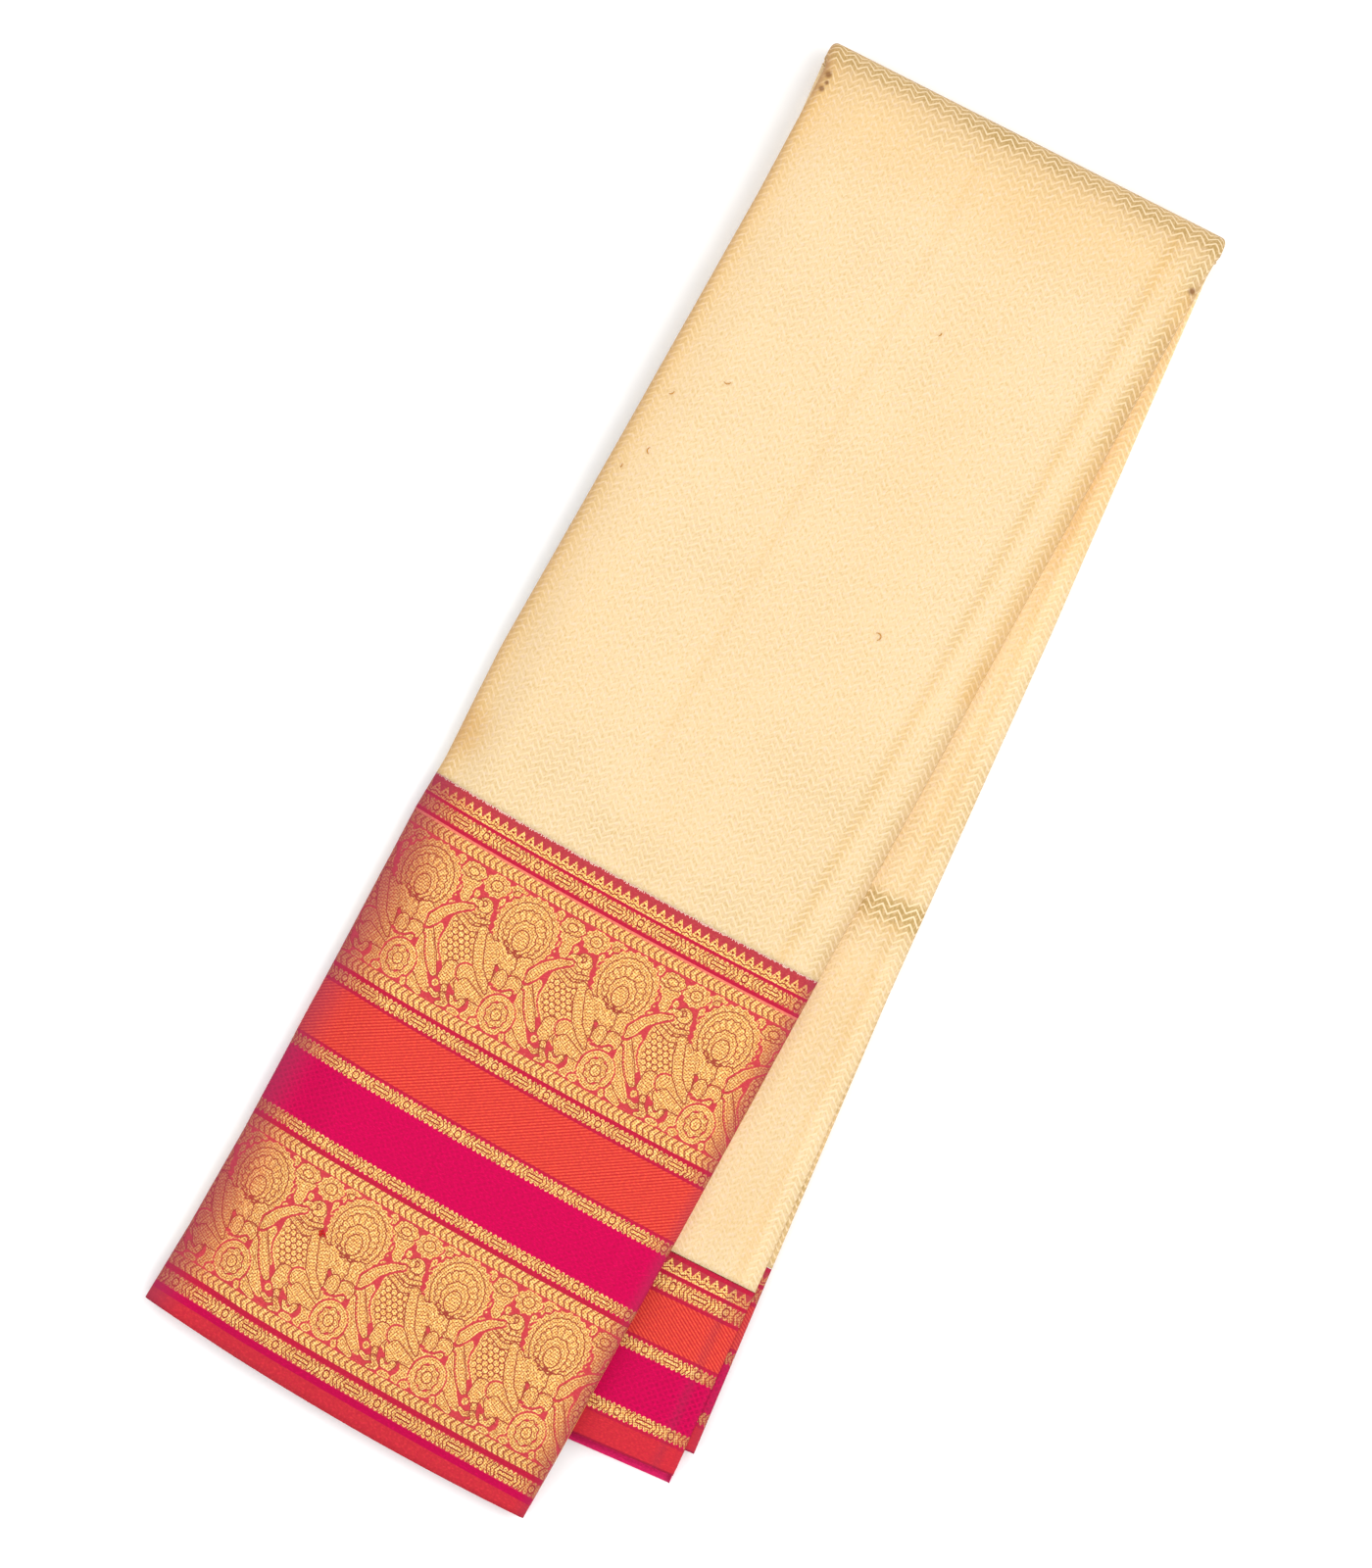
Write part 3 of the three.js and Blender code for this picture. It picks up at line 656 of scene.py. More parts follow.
def figure_field(x, y):
    """For arrays of places in mm, first the signed distance to the nearest shape of the repeated
    cell, the count of its inner lines, and 1 where it has scales.  Then the signed distances to
    two sets of thin edges, which take turns, so shapes that overlap are told apart.  The distance
    to an oval is k(k - 1)/m, where k is the length of the place divided by the half sizes and m
    the same divided by their squares."""
    total, rib, scales = np.full(x.shape, 9.0), np.full(x.shape, 0.5), np.zeros(x.shape)
    seams = [np.full(x.shape, 9.0), np.full(x.shape, 9.0)]
    for style, moat, *shape in FIGURES:
        middle = shape[0][len(shape[0]) // 2][0] if isinstance(shape[0], list) else shape[0]
        near = (x - middle + CELL_WIDTH / 2) % CELL_WIDTH - CELL_WIDTH / 2 + middle
        if isinstance(shape[0], list):
            distance, across, down = np.full(x.shape, 9.0), np.zeros(x.shape), np.zeros(x.shape)
            start = 0.0
            for (x0, y0, r0), (x1, y1, r1) in zip(shape[0][:-1], shape[0][1:]):
                dx, dy = x1 - x0, y1 - y0
                reach = math.hypot(dx, dy)
                free = ((near - x0) * dx + (y - y0) * dy) / reach ** 2
                share = np.clip(free, 0, 1)
                side = ((near - x0) * dy - (y - y0) * dx) / reach
                away = np.hypot(near - x0 - share * dx, y - y0 - share * dy) - r0 - share * (r1 - r0)
                closer = away < distance
                distance = np.where(closer, away, distance)
                across = np.where(closer, side, across)
                down = np.where(closer, start + free * reach, down)
                start += reach
        else:
            _, cy, rx, ry, turned, lobes, lobe_depth = shape
            turn = math.radians(turned)
            across = (near - middle) * math.cos(turn) + (y - cy) * math.sin(turn)
            down = (y - cy) * math.cos(turn) - (near - middle) * math.sin(turn)
            angle = np.arctan2(down, across)
            swell = 1 + lobe_depth * np.cos(lobes * angle)
            k = np.hypot(across / rx, down / ry) / swell
            m = np.maximum(np.hypot(across / rx ** 2, down / ry ** 2), 1e-6)
            distance = k * (k - 1) / m
        if style == RAYS:
            count = np.where(k < 0.3, 0.5, angle / math.tau * max(lobes, 1) + 0.5)
        else:
            count = {BARS: down / RIB, RINGS: distance / RIB + 0.25}.get(style, 0.5 + 0 * down)
        inside = distance < 0
        rib = np.where(inside, count, rib)
        scales = np.where(inside, float(style == SCALES), scales)
        seams = [np.maximum(seam, -distance) for seam in seams]
        if moat > 0:
            total = np.minimum(distance, np.maximum(total, moat - distance))
        elif moat < 0:
            total = np.where(inside, -0.6 * distance, total)
        else:
            total = np.minimum(total, distance)
            seams = [seams[1], np.minimum(seams[0], distance)]
    total = np.minimum(total, LARGEST_POCKET - total)
    total = np.maximum(total, 0.35 - np.minimum(y, CELL_HEIGHT - y))
    return np.stack([total, rib, scales], axis=-1), np.stack([*seams, 0 * total], axis=-1)


sample, _ = figure_field(np.array([0.0]), np.array([44.6]))
print("in the middle of the raised tail the distance is", round(float(sample[0, 0]), 2), "mm")

# %% [markdown]
# ## The leaf of a border
# A border is woven onto the body, so its leaf follows the same formula and starts where the body
# ends.  Its rows lie on the bands' edges, close together where there are figures.  One function
# makes the borders of every leaf, because they differ only in their bands, place and creases.

# %% The wide border
FIELD_SHIFT = -25.6              # x of the first raised tail


def add_figures(mesh, x, y, starts):
    """Keep the two triples of `figure_field` at each point of a border, for the fields that start
    `starts` mm from the hem."""
    x, y = np.broadcast_arrays(x, y)
    figure, seams = np.full((2,) + x.shape + (3,), 9.0)
    for start in starts:
        rows = (y[:, 0] >= start - 0.01) & (y[:, 0] <= start + CELL_HEIGHT + 0.3)
        field = figure_field(x[rows] - FIELD_SHIFT, np.clip(y[rows] - start, 0, CELL_HEIGHT))
        figure[rows], seams[rows] = field
    keep(mesh, "figure", figure.reshape(-1, 3))
    keep(mesh, "seams", seams.reshape(-1, 3))


def border_leaf(name, bands, total, hem, leg, top, inward, creases, seed, steps, slip=False, mirror=1):
    """A border's leaf: its rows lie on the bands' edges and run up from the hem, which is `hem` mm
    back from the end of the `leg` (1 in front, 3 at the back).  `steps` are the heights of its
    quads in mm, in figures and elsewhere, and the first is their width too.  `mirror` is -1 where
    the cloth's other side shows.  Returns the object."""
    places, owners, inside, edges = band_rows(bands, total, *steps)
    width = widths(OUTER_ROLL if top == LEG else INNER_ROLL, steps[0])[None, :]
    y = places[:, None]
    if leg == 1:
        station = (hem + front_lie(y, width)) / FOLD_Y
    else:
        station = 3 - (hem + (back_lie(y, width) if top != LEG else y)) / BACK_LENGTH
    relief = lines(width, y, creases) + 0.12 * swelling(width, y, seed)
    slipped = np.interp(station, SLIPS[:, 0], SLIPS[:, 1]) if slip else 0
    mesh = grid_mesh(name, leaf_points(station, width, top, inward, relief, slipped, y))
    x = mirror * width
    # Painted shade: unlit gold near the edges, darker cloth there and in an inner leaf's crease.
    painted_dull_gold = soft((-width - 60) / 28) * 0.62 + soft((width - 78) / 12) * 0.55
    if top == INNER:
        right = soft((width - 87) / 7) * 0.35 + 0.4 * np.exp(-((width - 82.3) / 2) ** 2)
    else:
        right = soft((width - 84) / 7) * 0.6
    deep = soft((-width - 74) / 18) + right
    add_cloth(mesh, x, y, painted_dull_gold, 0, deep)
    starts = [edge for edge, band in zip(edges, bands) if band[2] == "figure"]
    if starts:
        add_figures(mesh, x, y, starts)
    paint_bands(mesh, *band_faces(bands, owners, inside, x[0]))
    # Rows that run against the cloth's direction would turn the faces over.
    if leg == 3:
        mesh.flip_normals()
    return add_piece(name, mesh, inward)


wide_border = border_leaf(
    "wide_border_outer_leaf", WIDE_BANDS, WIDE, 0, 1, LEG, -1, FRONT_CREASES, 5, (0.86, 2.4))
print(wide_border.name, len(wide_border.data.polygons), "quads")

# %% [markdown]
# ## The other leaves
# Under the outer leaf lies the innermost one, which shows as the long sliver of the back leg, and
# below it one more that has slipped to the right.  All have both borders at the same places, so
# the same functions make them.  The outer leaf's own narrow border peeks out at the back hem.

# %% One function for the inner bodies
SLIVER_FROM = 44.2   # mm right of the back leg's middle, where it starts to show at the hem


def body_leaf(name, stations, top, inward, creases, seed, unlit_gold_patches, warm_sheen_patches, slip=False):
    """A stretch of cream body.  Its y on the cloth is counted from the front hem up, round the
    fold and down, or from the back hem for a leaf that lies only on the back leg."""
    station = stations[:, None]
    width = widths(INNER_ROLL, 2.4)[None, :]
    from_back = (3 - station) * BACK_LENGTH
    y = np.where(station > 2, from_back, length_along(station))
    own_back = from_back.min() - NARROW
    lying = 3 - (own_back + back_lie(from_back - own_back, width)) / BACK_LENGTH
    lying = np.where(station > 2, lying, np.where(station < 1, front_lie(y, width) / FOLD_Y, station))
    relief = np.where(station > 2, lines(width, from_back, creases), 0)
    relief = relief + np.where(station > 2, 0.12 * (swelling(width, y, seed) - 1), 0)
    slipped = np.interp(station, SLIPS[:, 0], SLIPS[:, 1]) if slip else 0
    mesh = grid_mesh(name, leaf_points(lying, width, top, inward, relief, slipped))
    show = 0.15 + 0.05 * swelling(width, y, seed + 1) + patches(width, from_back, unlit_gold_patches)
    warm_tone_and_sheen = 0.08 + 0.10 * swelling(width, y, seed + 2) + patches(width, from_back, warm_sheen_patches)
    # The sliver shows from this line on; painted highlight there, where it leans on the front leg.
    shown = SLIVER_FROM + (HALF - SLIVER_FROM) * from_back / BACK_LENGTH
    painted_highlight = 0.85 * np.exp(-((width - shown) / 9) ** 2) + 0.3 * np.exp(-((width - 86) / 3) ** 2)
    # Painted shade at the rolled edges, less the painted highlight.
    deep = soft((np.abs(width) - 88) / 5) * 0.2 - painted_highlight
    add_cloth(mesh, width, y, show, warm_tone_and_sheen, deep)
    return add_piece(name, mesh, 1)


print("the back leg's sliver is", round(HALF - SLIVER_FROM, 1), "mm wide at the hem")

# %% Inner, slipped and under leaves
# Inner leaf: gold painted unlit, then painted warm sheen, over a wrinkle and towards the right.
INNER_UNLIT_GOLD = [
    (-99, 99, 251, 262, 7, .75), (-99, 99, 238, 252, 9, .20), (-99, 99, 270, 330, 36, .12),
    (85, 99, 80, 560, 6, .15),
]
INNER_WARM_SHEEN = [
    (62, 80, 100, 420, 14, .12), (80, 83, 80, 540, 3, .30), (-99, 99, 248, 262, 8, .30),
    (70, 99, 420, 560, 30, .35),
]
# How far back from the outer leaf's hems the others lie, and how far that one peeks out, in mm.
FRONT_SET_BACK, BACK_SET_BACK, SLIPPED_SET_BACK, PEEK = 1.5, 4.6, 16.5, 0.8

narrow_joint = 3 - NARROW / BACK_LENGTH
inner_stations = np.concatenate([
    spaced(WIDE / FOLD_Y, 1, 5 / FOLD_Y), [1.25, 1.5, 1.75], spaced(2, narrow_joint, 2.6 / BACK_LENGTH),
])
inner_body = body_leaf(
    "body_inner_leaf", inner_stations, INNER, 1, BACK_CREASES, 21, INNER_UNLIT_GOLD, INNER_WARM_SHEEN)
inner_border = border_leaf(
    "wide_border_inner_leaf", WIDE_BANDS, WIDE - FRONT_SET_BACK, FRONT_SET_BACK, 1, INNER, 1, [], 31,
    (1.5, 3.0))
narrow_border = border_leaf(
    "narrow_border_inner_leaf", NARROW_BANDS, NARROW - BACK_SET_BACK, BACK_SET_BACK, 3, INNER, 1,
    BACK_CREASES, 41, (1.2, 1.4), mirror=-1)
slipped_joint = 3 - (NARROW + SLIPPED_SET_BACK - BACK_SET_BACK) / BACK_LENGTH
# The slipped leaf's right edge gets gold painted unlit and a painted warm sheen.
slipped_body = body_leaf(
    "body_slipped_leaf", spaced(2.001, slipped_joint, 4 / BACK_LENGTH), SLIPPED, 1, [], 51,
    [(80, 99, 90, 560, 6, .4)], [(80, 99, 90, 560, 6, .3)], slip=True)
slipped_border = border_leaf(
    "narrow_border_slipped_leaf", NARROW_BANDS, NARROW - BACK_SET_BACK, SLIPPED_SET_BACK, 3, SLIPPED,
    1, [], 61, (2.4, 2.4), slip=True, mirror=-1)
under_border = border_leaf(
    "narrow_border_outer_leaf", UNDER_BANDS, NARROW + PEEK, -PEEK, 3, LEG, -1, [], 71, (1.6, 1.8))
for piece in (inner_body, inner_border, narrow_border, slipped_body, slipped_border, under_border):
    print(piece.name, len(piece.data.polygons), "quads")

# %% [markdown]
# ## The folds between the leaves
# Between the leaves that show lie about thirty more.  At the sides they show as a stack of round
# folds, none of them quite flush, and at the hems as a stack of selvedges.  Each fold here is a
# flat tube of cloth that runs from hem to hem round the top fold, and eight of them fill the
# thickness.  They are closed and rounded, and follow the same formula as the leaves.

# %% Eight folds
FOLDS = [
    # how far each one stands out at the left and the right, and how far back its hems lie
    (-.5, .1, 1.6), (.0, .4, 0.9), (.9, .2, 0.3), (1.5, .9, 1.1),
    (.8, 1.6, 2.9), (.2, 1.0, 1.9), (-.7, -.8, 1.4), (-1.0, -1.1, 0.6),
]
FOLD_GAP = 0.06      # share of a fold's depth that is left free at each side
FOLD_HALF = 89.5     # mm, half of a fold's width, before it stands out
FOLD_HEM = 3         # mm, how far back every fold's hems lie at least
HALF_TURN = np.radians(np.linspace(-90, 90, 7))


def fold_ring(left, right, thickness):
    """One turn round a flat tube, as places across and shares of its depth: a half circle at the
    right, the outer face back to the left, a half circle there, and the inner face back."""
    radius = thickness / 2
    flat = np.array([0.93, 0.8, 0.55, 0.2, -0.2, -0.55, -0.8, -0.93]) * HALF
    across = np.concatenate([
        right - radius + radius * np.cos(HALF_TURN), flat,
        left + radius - radius * np.cos(HALF_TURN), flat[::-1]])
    share = np.concatenate([
        0.5 + 0.5 * np.sin(HALF_TURN), np.ones(8), 0.5 - 0.5 * np.sin(HALF_TURN), np.zeros(8)])
    return across, share


layer_bands = [(h, GOLD if weave == "figure" else dye, "plain" if weave == "figure" else weave)
               for h, dye, weave in WIDE_BANDS]
all_bands = layer_bands + [(1, GOLD, "plain")] + NARROW_BANDS
BODY_BAND = len(layer_bands)


def one_fold(number, left, right, hem):
    """The points of one fold, its flat cloth's coordinates, its faces' dyes, weaves and corners,
    and which of its faces are border.  The folds share the depth of the leg evenly."""
    start, end = (FOLD_HEM + hem) / FOLD_Y, 3 - (FOLD_HEM + hem) / BACK_LENGTH
    front_rows, front_owners, front_inside, _ = band_rows(layer_bands, WIDE - FOLD_HEM - hem, 9, 9)
    back_rows, back_owners, back_inside, _ = band_rows(NARROW_BANDS, NARROW - FOLD_HEM - hem, 9, 9)
    body_rows = np.concatenate([
        spaced(WIDE / FOLD_Y, 1, 8 / FOLD_Y)[1:-1], np.linspace(1, 2, 17),
        spaced(2, 3 - NARROW / BACK_LENGTH, 8 / BACK_LENGTH)[1:-1]])
    rows = np.concatenate([start + front_rows / FOLD_Y, body_rows, end - back_rows[::-1] / BACK_LENGTH])
    rows = rows[:, None]
    thickness = (LAYERS_OUT - LAYERS_FRONT) / len(FOLDS)
    across, share = fold_ring(-FOLD_HALF - left, FOLD_HALF + right, thickness)
    share = (number + FOLD_GAP + (1 - 2 * FOLD_GAP) * share) / len(FOLDS)
    inside = LAYERS_FRONT + (LAYERS_BACK - LAYERS_FRONT) * soft((rows - 1.5) / 0.5)
    wander = 0.35 * swelling(length_along(rows) + 90 * number, 0 * rows, 80 + number)
    depth = inside + (LAYERS_OUT - inside) * share[None, :]
    points = cloth_point(rows, across[None, :] + np.sign(across) * wander, depth)
    from_hem = np.where(rows > 2, (3 - rows) * BACK_LENGTH, length_along(rows))
    flat = np.stack(np.broadcast_arrays(across[None, :], from_hem, 0.0), axis=-1)
    owners = np.concatenate([
        front_owners, np.full(len(body_rows) + 1, BODY_BAND), BODY_BAND + 1 + back_owners[::-1]])
    in_band = np.concatenate([
        front_inside, np.tile([-1.0, 1.0], (len(body_rows) + 1, 1)), back_inside[::-1, ::-1]])
    x = np.concatenate([across, across[:1]])
    border = np.concatenate([np.repeat(owners != BODY_BAND, len(across)), [True, True]])
    return points, flat.reshape(-1, 3), *band_faces(all_bands, owners, in_band, x, ends=2), border


stack = [one_fold(number, *fold) for number, fold in enumerate(FOLDS)]
points, flats, dyes, codes, corners, fold_is_border = zip(*stack)
stack_mesh = grid_mesh("stack of folds", *points, closed=True)
flat = np.concatenate(flats)
# Painted light on the hidden folds: gold painted unlit, painted warm sheen and painted shade.
add_cloth(stack_mesh, flat[:, 0], flat[:, 1], 0.45, 0.35, 0.35)
paint_bands(stack_mesh, np.concatenate(dyes), np.concatenate(codes), np.concatenate(corners))
stack_mesh.flip_normals()
folds = add_piece("stack_of_folds", stack_mesh, 0)
print("stack of folds:", len(stack_mesh.polygons), "faces")

# %% [markdown]
# ## Loose threads
# Handloom silk always has a few stray ends: short curls of gold and brown thread on the body, and
# one red knot on the border.  A curl is a thin round tube along a short bent path.

# %% Stray ends and the knot
def tube(path, radius, sides=6):
    """A round tube's grid: at each point of the path a ring of `sides` points, at `radius` along
    the path's normal and across it, thinner towards both ends."""
    along = np.gradient(path, axis=0)
    along /= np.linalg.norm(along, axis=1, keepdims=True)
    side = np.cross(along, (0, 0, 1))
    side /= np.linalg.norm(side, axis=1, keepdims=True)
    up = np.cross(side, along)
    turn = np.linspace(0, math.tau, sides, endpoint=False)[None, :, None]
    taper = radius * np.sin(np.linspace(0.25, math.pi - 0.25, len(path))) ** 0.5
    ring = np.cos(turn) * side[:, None, :] + np.sin(turn) * up[:, None, :]
    return path[:, None, :] + taper[:, None, None] * ring


def curl(x, y, turn, length, bend, lift=0.25):
    """A short bent path on the front leg, centred at x, y mm: an arc that turns by `bend`
    radians over its `length`, and lies `lift` mm above the cloth."""
    angle = turn + bend * np.linspace(-0.5, 0.5, 13)
    step = length / 12
    px = x + np.cumsum(np.cos(angle)) * step - np.cos(turn) * length / 2
    py = y + np.cumsum(np.sin(angle)) * step - np.sin(turn) * length / 2
    height = lift + 0.3 * np.sin(np.linspace(0, 3 * math.pi, 13)) ** 2
    return cloth_point(py / FOLD_Y, px, LEG + height)


THREADS = [
    # x and y on the front leg in mm, direction, length, bend
    (-61.7, 454.0, 0.3, 3.4, 2.2), (-81.0, 439.0, 0.8, 2.8, 1.8), (-77.0, 413.4, 2.0, 3.6, -2.4),
    (44.0, 388.6, -0.8, 5.4, -3.5), (6.0, 512.0, 1.2, 2.0, 1.2), (-84.5, 402.0, 1.5, 1.8, 0.8),
]
STRAY_THREAD, KNOT_THREAD = 0.00020, 0.00032   # radius in metres
thread_grids = [tube(curl(*row), STRAY_THREAD) for row in THREADS]
thread_mesh = grid_mesh("stray thread ends", *thread_grids, closed=True)
threads = add_piece("stray_thread_ends", thread_mesh, 0)
KNOT = [(0.4, 0.35), (2.6, 0.6), (4.4, 0.45), (5.6, 0.8)]   # direction and lift of each curl
knot_grids = [tube(curl(-39.4, 63.6, turn, 2.4, 3.9, lift), KNOT_THREAD) for turn, lift in KNOT]
knot_mesh = grid_mesh("red knot", *knot_grids, closed=True)
knot = add_piece("red_knot", knot_mesh, 0)
print("threads:", len(thread_mesh.polygons), "faces, knot:", len(knot_mesh.polygons))

# %% [markdown]
# ## Cream silk with a gold zigzag
# The body is mulberry silk, woven on a handloom, with fine flat gold thread between zigzag rows of
# silk.  Silk threads are round and clear, so the cloth has a soft broad gloss along them and a
# light bloom at the edges of folds.  The zigzag repeats every 6.7 mm across and 3.3 mm up.

# %% What every silk here shares
def numbers(tree, name):
    """The three numbers of a vector attribute, as three outputs."""
    vector = lay(tree, "Attribute", attribute_name=name, out=1)
    return lay(tree, "SeparateXYZ", vector, out=slice(3))


def finish_silk(tree, colour, height, roughness, metallic=0.0, bump=0.35):
    """The cloth's surface: silk's index of refraction is 1.54, and its bloom is a weak sheen.
    Its gloss is low, because the weave turns every thread another way, and the weave's relief is
    a quarter of a millimetre."""
    relief = lay(tree, "Bump", {"Strength": bump, "Distance": 0.00025, "Height": height})
    surface = lay(tree, "BsdfPrincipled", {
        "Base Color": colour, "Roughness": roughness, "Metallic": metallic, "IOR": 1.54,
        "Specular IOR Level": 0.04, "Sheen Weight": 0.01, "Sheen Roughness": 0.4, "Normal": relief})
    lay(tree, "OutputMaterial", surface)


# %% Body silk: the zigzag
ZIGZAG_HALF, ZIGZAG_ROW = 3.35, 3.3   # mm

body_silk, tree = new_material("handloom silk, cream with gold zigzag")
cloth = lay(tree, "Attribute", attribute_name="cloth", out=1)
x, y = lay(tree, "SeparateXYZ", cloth, out=slice(2))
show, warm_tone_and_sheen, deep = numbers(tree, "painted_sheen_and_shade")
# Hand weaving wavers a little, so the zigzag's rows are not quite straight.
waver = lay(tree, "Math MULTIPLY", lay(tree, "TexNoise", cloth, None, 0.05, 2.0), 2.4)
rise = lay(tree, "Math ADD", y, lay(tree, "Math PINGPONG", x, ZIGZAG_HALF))
row = lay(tree, "Math DIVIDE", lay(tree, "Math ADD", rise, waver), ZIGZAG_ROW)
off_line = lay(tree, "Math SUBTRACT", lay(tree, "Math FRACT", row), 0.5)
line = lay(tree, "MapRange", lay(tree, "Math ABSOLUTE", off_line), 0.08, 0.20, 1.0, 0.0)
# Painted shade: the gold between the lines is painted unlit, unevenly from place to place.
cloudy = lay(tree, "MapRange", lay(tree, "TexNoise", cloth, None, 0.035, 3.0), 0.35, 0.7, 0.75, 1.25)
amount = lay(tree, "Math MULTIPLY", show, cloudy, use_clamp=True)
print("zigzag:", 2 * ZIGZAG_HALF, "mm across,", ZIGZAG_ROW, "mm up")

# %% Body silk: slubs, flecks and colours
CREAM, CREAM_SHADE, WARM_GOLD, PINK_CREAM = "#DFC8A1", "#CDAA6C", "#D7A65C", "#E3CBB9"
KHAKI, PALE_LINE, SHADE, GAP_SHADOW_BROWN = "#AC8F5B", "#E3CFAA", "#A77D56", "#6E3F1C"

# Fine slubs run along the threads, 0.4 mm apart and some millimetres long, and flecks of silk and
# gold about a millimetre long lie between them.
slub_at = lay(tree, "Mapping", cloth, None, None, (2.4, 0.22, 1.0))
fleck_at = lay(tree, "Mapping", cloth, None, (0, 0, 0.3), (1.1, 0.6, 1.0))
pale_at = lay(tree, "Mapping", cloth, (17, 5, 0), (0, 0, -0.3), (0.9, 0.5, 1.0))
slub, fleck, pale = (lay(tree, "TexNoise", at, None, 1.0, 2.0) for at in (slub_at, fleck_at, pale_at))
between = lay(tree, "Math SUBTRACT", 1.0, line)
between = lay(tree, "Math MULTIPLY", between, lay(tree, "MapRange", fleck, 0.3, 0.6, 0.5, 1.2))
coats = [
    # share of this colour, the colour
    (lay(tree, "MapRange", slub, 0.35, 0.75, 0.0, 0.22), CREAM_SHADE),
    (lay(tree, "MapRange", fleck, 0.52, 0.70, 0.0, 0.6), CREAM_SHADE),
    (lay(tree, "MapRange", pale, 0.5, 0.72, 0.0, 0.55), PINK_CREAM),
    # painted light: pale lines and khaki gold where the gold is painted unlit, then painted shade
    (lay(tree, "Math MULTIPLY", line, amount), PALE_LINE),
    (lay(tree, "Math MULTIPLY", between, amount, use_clamp=True), KHAKI),
    (deep, SHADE),
]
# The silk's own uneven warm tone, with a painted warm sheen at its edges, creases and the fold.
base = lay(tree, "MixRGB", warm_tone_and_sheen, linear(CREAM), linear(WARM_GOLD))
for share, colour in coats:
    base = lay(tree, "MixRGB", share, base, linear(colour))
# Painted highlight: where the shade value is below 0, the colour is brightened by up to 30 %.
painted_highlight = lay(tree, "Math MULTIPLY", deep, -1.0, use_clamp=True)
base = lay(tree, "MixRGB", lay(tree, "Math MULTIPLY", painted_highlight, 0.3), base, base, blend_type="ADD")
# Painted shadow: near the top fold the cloth gapes a little at its edges, and the shade in
# these gaps is painted as dark brown spots.
GAP_SHADOWS = [(-88.2, 586.5, 1.5), (-87.2, 583.2, 1.0), (-88.0, 580.0, 1.3), (88.6, 574.5, 1.5)]
for shadow_x, shadow_y, reach in GAP_SHADOWS:
    gap_shadow = lay(tree, "VectorMath DISTANCE", cloth, (shadow_x, shadow_y, 0), out=1)
    gap_shadow = lay(tree, "MapRange", gap_shadow, 0.5 * reach, 1.4 * reach, 0.75, 0.0)
    base = lay(tree, "MixRGB", gap_shadow, base, linear(GAP_SHADOW_BROWN))
height = lay(tree, "Math ADD", lay(tree, "Math MULTIPLY", line, 0.6), slub)
finish_silk(tree, base, height, 0.5)
print(body_silk.name, len(tree.nodes), "nodes")

# %% [markdown]
# ## Border silk with gold figures
# The border is brocade: coloured silk, with gold thread that floats over it where a figure is.
# The gold is silk wrapped in gilded silver, bright but not a mirror, because it is bound down by
# fine stitches, about a millimetre apart.  Each pattern of bands is a few sums on the place inside
# the band, and the faces' own codes say which pattern counts.  The patterns are worked out one by
# one, each as how much gold shows (`..._gold`) and where its dark lines run (`..._line`).

# %% Border silk: where a point is and which weave it has
border_silk, tree = new_material("handloom silk brocade with gold thread")
cloth = lay(tree, "Attribute", attribute_name="cloth", out=1)
cloth_x, cloth_y = lay(tree, "SeparateXYZ", cloth, out=slice(2))
x, up = lay(tree, "SeparateXYZ", lay(tree, "UVMap", uv_map="band"), out=slice(2))
off = lay(tree, "Math ABSOLUTE", up)
dye = lay(tree, "Attribute", attribute_name="dye")
weave_a = lay(tree, "Attribute", attribute_name="weave_a")
vine, arrow, temple = lay(tree, "SeparateColor", weave_a, out=slice(3))
base_row = weave_a.node.outputs[3]
weave_b = lay(tree, "Attribute", attribute_name="weave_b")
twill, diaper, field = lay(tree, "SeparateColor", weave_b, out=slice(3))
joint = weave_b.node.outputs[3]
print("weaves in the codes:", ", ".join(WEAVES))

# %% Border silk: arrow heads and the vine
ARROW_STEP, VINE_HALF, BEAD_HALF = 2.8, 12.25, 1.15   # mm, a half is half of the pattern's repeat

# Arrow heads that point left: a thin gap wherever x less the lean crosses a step.
lean = lay(tree, "Math MULTIPLY_ADD", off, -1.5, x)
step = lay(tree, "Math FRACT", lay(tree, "Math DIVIDE", lean, ARROW_STEP))
arrow_line = lay(tree, "Math MULTIPLY", lay(tree, "MapRange", step, 0.14, 0.44, 0.9, 0.0), arrow)

# The vine: capsules with bars and lozenges with a ring take turns every 12.25 mm, arrow heads
# between them, and beads along both edges.
swing = lay(tree, "Math PINGPONG", lay(tree, "Math SUBTRACT", x, 2.4), VINE_HALF)
in_capsule = lay(tree, "Math LESS_THAN", swing, 3.1)
in_lozenge = lay(tree, "Math GREATER_THAN", swing, 9.3)
bar = lay(tree, "Math MULTIPLY", lay(tree, "Math COMPARE", off, 0.27, 0.09), in_capsule)
head = lay(tree, "Math DIVIDE", lay(tree, "Math MULTIPLY_ADD", off, 1.7, swing), 1.75)
head = lay(tree, "Math LESS_THAN", lay(tree, "Math FRACT", head), 0.27)
middle = lay(tree, "Math SUBTRACT", lay(tree, "Math SUBTRACT", 1.0, in_capsule), in_lozenge)
head = lay(tree, "Math MULTIPLY", head, middle)
ring_x = lay(tree, "Math SUBTRACT", swing, VINE_HALF)
ring = lay(tree, "CombineXYZ", ring_x, lay(tree, "Math MULTIPLY", up, 2.5))
ring = lay(tree, "Math COMPARE", lay(tree, "VectorMath LENGTH", ring, out=1), 1.35, 0.24)
ring = lay(tree, "Math MULTIPLY", ring, in_lozenge)
bead_x = lay(tree, "Math PINGPONG", x, BEAD_HALF)
bead = lay(tree, "MapRange", bead_x, 0.0, 0.8, 0.64, 0.98)
